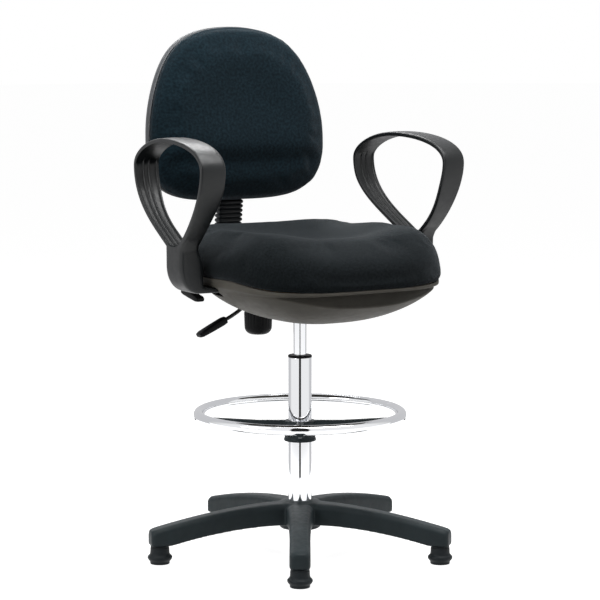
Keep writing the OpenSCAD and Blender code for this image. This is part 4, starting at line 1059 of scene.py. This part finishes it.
def star_base():
    """Solid legs and hub, merged and smoothed, then hollowed from below."""
    leg = leg_rings(24, 0.012, leg_tip - 0.012)
    solids = [skin(f"leg_{k}", turned(leg, a)[:, ::-1]) for k, a in enumerate(leg_angles)]
    hub = [(0.03, hub_low), (hub_radius, hub_low), (hub_radius, 0.1145), (0.040, 0.1165),
           (0.0335, 0.1170), (0.0320, hub_top), (0.02, hub_top)]
    base = outward(joined(solids + [lathe("hub", hub, 96)]))
    base.name = "star_base_moulding"
    evened(base, 0.0024, 12)
    hollow = leg_rings(14, hub_radius + 0.006, foot_circle - 0.0165, 0.004)
    hollows = [skin(f"trough_{k}", turned(hollow, a)[:, ::-1]) for k, a in enumerate(leg_angles)]
    stem = [(0.0056, 0.03), (0.0056, 0.065)]
    hollows += [lathe(f"stem_{k}", stem, 32, foot) for k, foot in enumerate(leg_feet)]
    tube_seat = lathe("tube_seat", [(0.0252, hub_low - 0.01), (0.0252, hub_top + 0.01)], 96)
    return hardened(cut(base, [outward(joined(hollows)), outward(tube_seat)]), 50)


dressed(star_base(), "base", "base_plastic", base_plastic, "star_base")

# %% [markdown]
# ## Glides and column
# Glides, tube and foot ring are all turned or swept round parts, so each is a profile carried
# round an axis. Polished chrome shows every facet, which is why these are worked out again
# with many more steps round than a plain solid needs.

# %% Glides
def rounded_profile(points):
    """A profile whose corners are softened by cutting them twice, with its ends kept."""
    points = np.asarray(points, float)
    for _ in range(2):
        a, b = points[:-1], points[1:]
        cuts = np.stack([a * 0.78 + b * 0.22, a * 0.22 + b * 0.78], 1).reshape(-1, 2)
        points = np.concatenate([points[:1], cuts, points[-1:]])
    return points


glide_profile = rounded_profile([
    (0.0, 0.0), (0.0195, 0.0), (0.0206, 0.0012), (0.0208, 0.0058), (0.0236, 0.0086),
    (0.0258, 0.0116), (0.0262, 0.0146), (0.0250, 0.0172), (0.0222, 0.0196), (0.0205, 0.0226),
    (0.0202, 0.0290), (0.0198, 0.0352), (0.0186, 0.0354), (0.0186, 0.0368), (0.0196, 0.0370),
    (0.0196, 0.0389), (0.0, 0.0389)])
for k, foot in enumerate(leg_feet, 1):
    glide = hardened(lathe(f"glide_{k}_moulding", glide_profile, 64, foot), 60)
    dressed(glide, "base", "black_plastic", glide_plastic, f"glide_{k}")

# %% Column tube and foot ring
tube_radius, tube_bore, tube_top = 0.025, 0.023, 0.427
tube_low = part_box("column_tube")[0][2]
tube_profile = [
    (0.0242, tube_low), (0.0246, 0.09), (tube_radius, hub_top), (tube_radius, tube_top - 0.0012),
    (tube_radius - 0.0004, tube_top - 0.0003), (tube_radius - 0.0012, tube_top),
    (tube_bore, tube_top), (tube_bore, tube_low)]
column = hardened(outward(ring_skin("column_tube_turned", spun(tube_profile, 192))), 35)
dressed(column, "base", "chrome", chrome, "column_tube")

ring_radius, ring_wire, ring_height = 0.217, 0.0105, 0.305
v = np.linspace(0, 2 * np.pi, 56, endpoint=False)
wire = np.stack([ring_radius + ring_wire * np.cos(v), ring_height + ring_wire * np.sin(v)], -1)
hoop = outward(ring_skin("foot_ring_tube", spun(wire, 288).transpose(1, 0, 2)))
dressed(hoop, "footring", "chrome", chrome, "foot_ring")

# %% [markdown]
# ## Moulded edges
# An injection moulding has no sharp edges. For the foot ring's hub, the depth knob and the levers'
# paddles, a copy of the CAD piece is merged, remeshed into small even squares and smoothed a
# little: edges round off and inner corners fill in as a mould maker's fillets do.

# %% Soften a moulding
def softened(node, body, slot, material, voxel, rounds):
    """A remeshed and smoothed copy of a CAD piece, which stands for it."""
    mesh = reworked(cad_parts[node].data.copy(),
                    lambda work: bmesh.ops.remove_doubles(work, verts=work.verts, dist=0.00001))
    piece = bpy.data.objects.new(node + "_moulding", mesh)
    scene.collection.objects.link(piece)
    return dressed(evened(piece, voxel, rounds), body, slot, material, node)


softened("footring_hub", "footring", "base_plastic", base_plastic, 0.0013, 5)
softened("depth_knob", "clamp_knob", "black_plastic", black_plastic, 0.0010, 3)
for lever in ("height_lever", "angle_lever"):
    softened(lever + "_paddle", lever, "black_plastic", black_plastic, 0.0007, 5)

# %% [markdown]
# ## Bellows
# A ribbed rubber sleeve hides the upright and folds as the backrest goes up and down. Outside it
# is one profile of ribs and grooves carried up the upright's line, and a plain inner wall leaves
# room for the bar.

# %% Bellows
sleeve_low, sleeve_high = 0.611, 0.751
sleeve_half = np.array([0.0315, 0.013])
lean = math.tan(math.radians(7))


def upright_line(z):
    """Where the leaning upright's middle is in Y at a height."""
    return 0.287 + (back_low - z) * lean


def bellows():
    """Rows go up; each rib is a rounded wave whose groove cuts in, and the inside is open."""
    ribs, per_rib, groove = 14, 10, 0.0050
    t = np.linspace(0, ribs, ribs * per_rib + 1)
    cut_in = groove * (1 - np.abs(np.cos(np.pi * t)) ** 0.6)
    height = sleeve_low + (sleeve_high - sleeve_low) * t / ribs
    x, y = superellipse(96, 5)

    def row(half_x, half_y, z):
        """One rounded rectangle about the upright's middle."""
        return np.stack([half_x * x, half_y * y + upright_line(z), np.full(96, z)], -1)

    rows = [row(sleeve_half[0] - gone * 0.8, sleeve_half[1] - gone, z)
            for gone, z in zip(cut_in, height)]
    rows += [row(0.0240, 0.0060, z) for z in (sleeve_high, sleeve_low)]
    return ring_skin("bellows_sleeve", np.array(rows)[:, ::-1])


sleeve = outward(bellows())
paint(sleeve, bellows_rubber)
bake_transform(sleeve)
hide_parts("back_bellows")
count(sleeve)

# %% [markdown]
# ## Floor and light
# The floor is plain and pale. To the camera it shows its own colour, a little lifted so that the
# background stays white, and it still takes the chair's soft shadow. A wide soft box hangs above
# the chair, a weaker one stands to the left of the camera, and one behind lights the upper edges.

# %% Floor
def grey(tone):
    """An even grey of one linear tone."""
    return tone, tone, tone, 1


def floor_finish():
    """A pale floor: plain white when seen or mirrored, with the shadow left in."""
    made = Finish("floor", (0.18, 0.18, 0.18), 0.9)
    path = made.node("LightPath").outputs
    seen = made.math("MAXIMUM", path["Is Camera Ray"], path["Is Glossy Ray"])
    pale = made.node("BsdfDiffuse", {"Color": grey(0.34)}).outputs[0]
    glow = made.node("Emission", {"Strength": 0.92}).outputs[0]
    lifted = made.node("AddShader", {0: pale, 1: glow}).outputs[0]
    chosen = made.node("MixShader", {0: seen, 1: made.shader.outputs[0], 2: lifted}).outputs[0]
    made.links.new(chosen, made.nodes["Material Output"].inputs["Surface"])
    return made.material


def four_sided(name, corners):
    """One flat face through four corners."""
    return mesh_piece(name, np.array(corners), np.array([[0, 1, 2, 3]]))


floor_half = 40
plan = rectangle(-floor_half, -floor_half, floor_half, floor_half)
floor = four_sided("floor", [(x, y, 0) for x, y in plan])
paint(floor, floor_finish())

# %% Sky and soft boxes
def studio_world():
    """A white surround. Polished metal mirrors it with a narrow dark flag beside the camera."""
    world = bpy.data.worlds.new("studio")
    world.use_nodes = True
    net = Network(world.node_tree)
    place = net.node("TexCoord").outputs["Generated"]
    facing = net.node("Mapping", {"Rotation": (0, 0, -view_turn), "Vector": place})
    side = net.node("SeparateXYZ", {"Vector": facing.outputs["Vector"]}).outputs
    angle = net.math("ARCTAN2", side["X"], net.math("MULTIPLY", side["Y"], -1))
    share = net.math("DIVIDE", net.math("ABSOLUTE", angle), math.pi)
    ramp = net.node("ValToRGB", {"Fac": share})
    stops = ((0.0, 0.01), (0.052, 0.01), (0.064, 0.95), (0.5, 0.95), (0.68, 0.55), (0.8, 0.9),
             (1, 1))
    elements = ramp.color_ramp.elements
    while len(elements) < len(stops):
        elements.new(0.5)
    for element, (spot, tone) in zip(elements, stops):
        element.position = spot
        element.color = grey(tone)
    path = net.node("LightPath").outputs
    ambient = 0.20
    mirrored = net.mix(path["Is Glossy Ray"], grey(ambient), ramp.outputs["Color"])
    shown = net.mix(path["Is Camera Ray"], mirrored, grey(1))
    net.links.new(shown, net.nodes["Background"].inputs["Color"])
    scene.world = world


def soft_box(name, turn, away, height, size, power):
    """A square area light that faces the middle of the chair."""
    lamp = bpy.data.lights.new(name, "AREA")
    lamp.size = size
    lamp.energy = power
    aimed(lamp, around(math.radians(turn), away, height), 0.6)


def only_mirrored(card, material):
    """Keeps a card out of everything but reflections in polished metal."""
    paint(card, material)
    for ray in ("camera", "diffuse", "shadow", "transmission"):
        setattr(card, "visible_" + ray, False)


def dark_card(name, away, half_width, high):
    """A narrow upright black card between camera and chair."""
    middle = np.array(around(view_turn, away, 0.0))
    side = np.array([math.cos(view_turn), math.sin(view_turn), 0.0]) * half_width
    up = np.array([0, 0, high])
    card = four_sided(name, [middle - side, middle + side, middle + side + up, middle - side + up])
    only_mirrored(card, Finish(name, (0.004, 0.004, 0.004), 1.0).material)


def grey_wall(name, away, first, last, high, tone):
    """An upright arc of even grey behind the chair."""
    turns = view_turn + np.radians(np.linspace(first, last, 33))
    foot = np.stack([np.sin(turns) * away, -np.cos(turns) * away, np.zeros(33)], -1)
    wall = skin(name, np.array([foot, foot + (0, 0, high)]), closed=False, ends=False)
    glow = Finish(name, (0, 0, 0), 1.0)
    glow.set("Emission Color", (tone, tone, tone * 1.02, 1))
    glow.set("Emission Strength", 1.0)
    glow.set("Specular IOR Level", 0.0)
    only_mirrored(wall, glow.material)


studio_world()
dark_card("column_card", 1.3, 0.19, 1.3)
grey_wall("edge_wall", 1.15, 104, 256, 1.7, 0.62)
soft_box("top_light", 20, 0.5, 3.2, 2.2, 85)
soft_box("side_light", -85, 2.6, 1.9, 1.4, 22)
soft_box("rim_light", 160, 2.4, 2.3, 1.5, 85)
scene.view_settings.view_transform = "Standard"
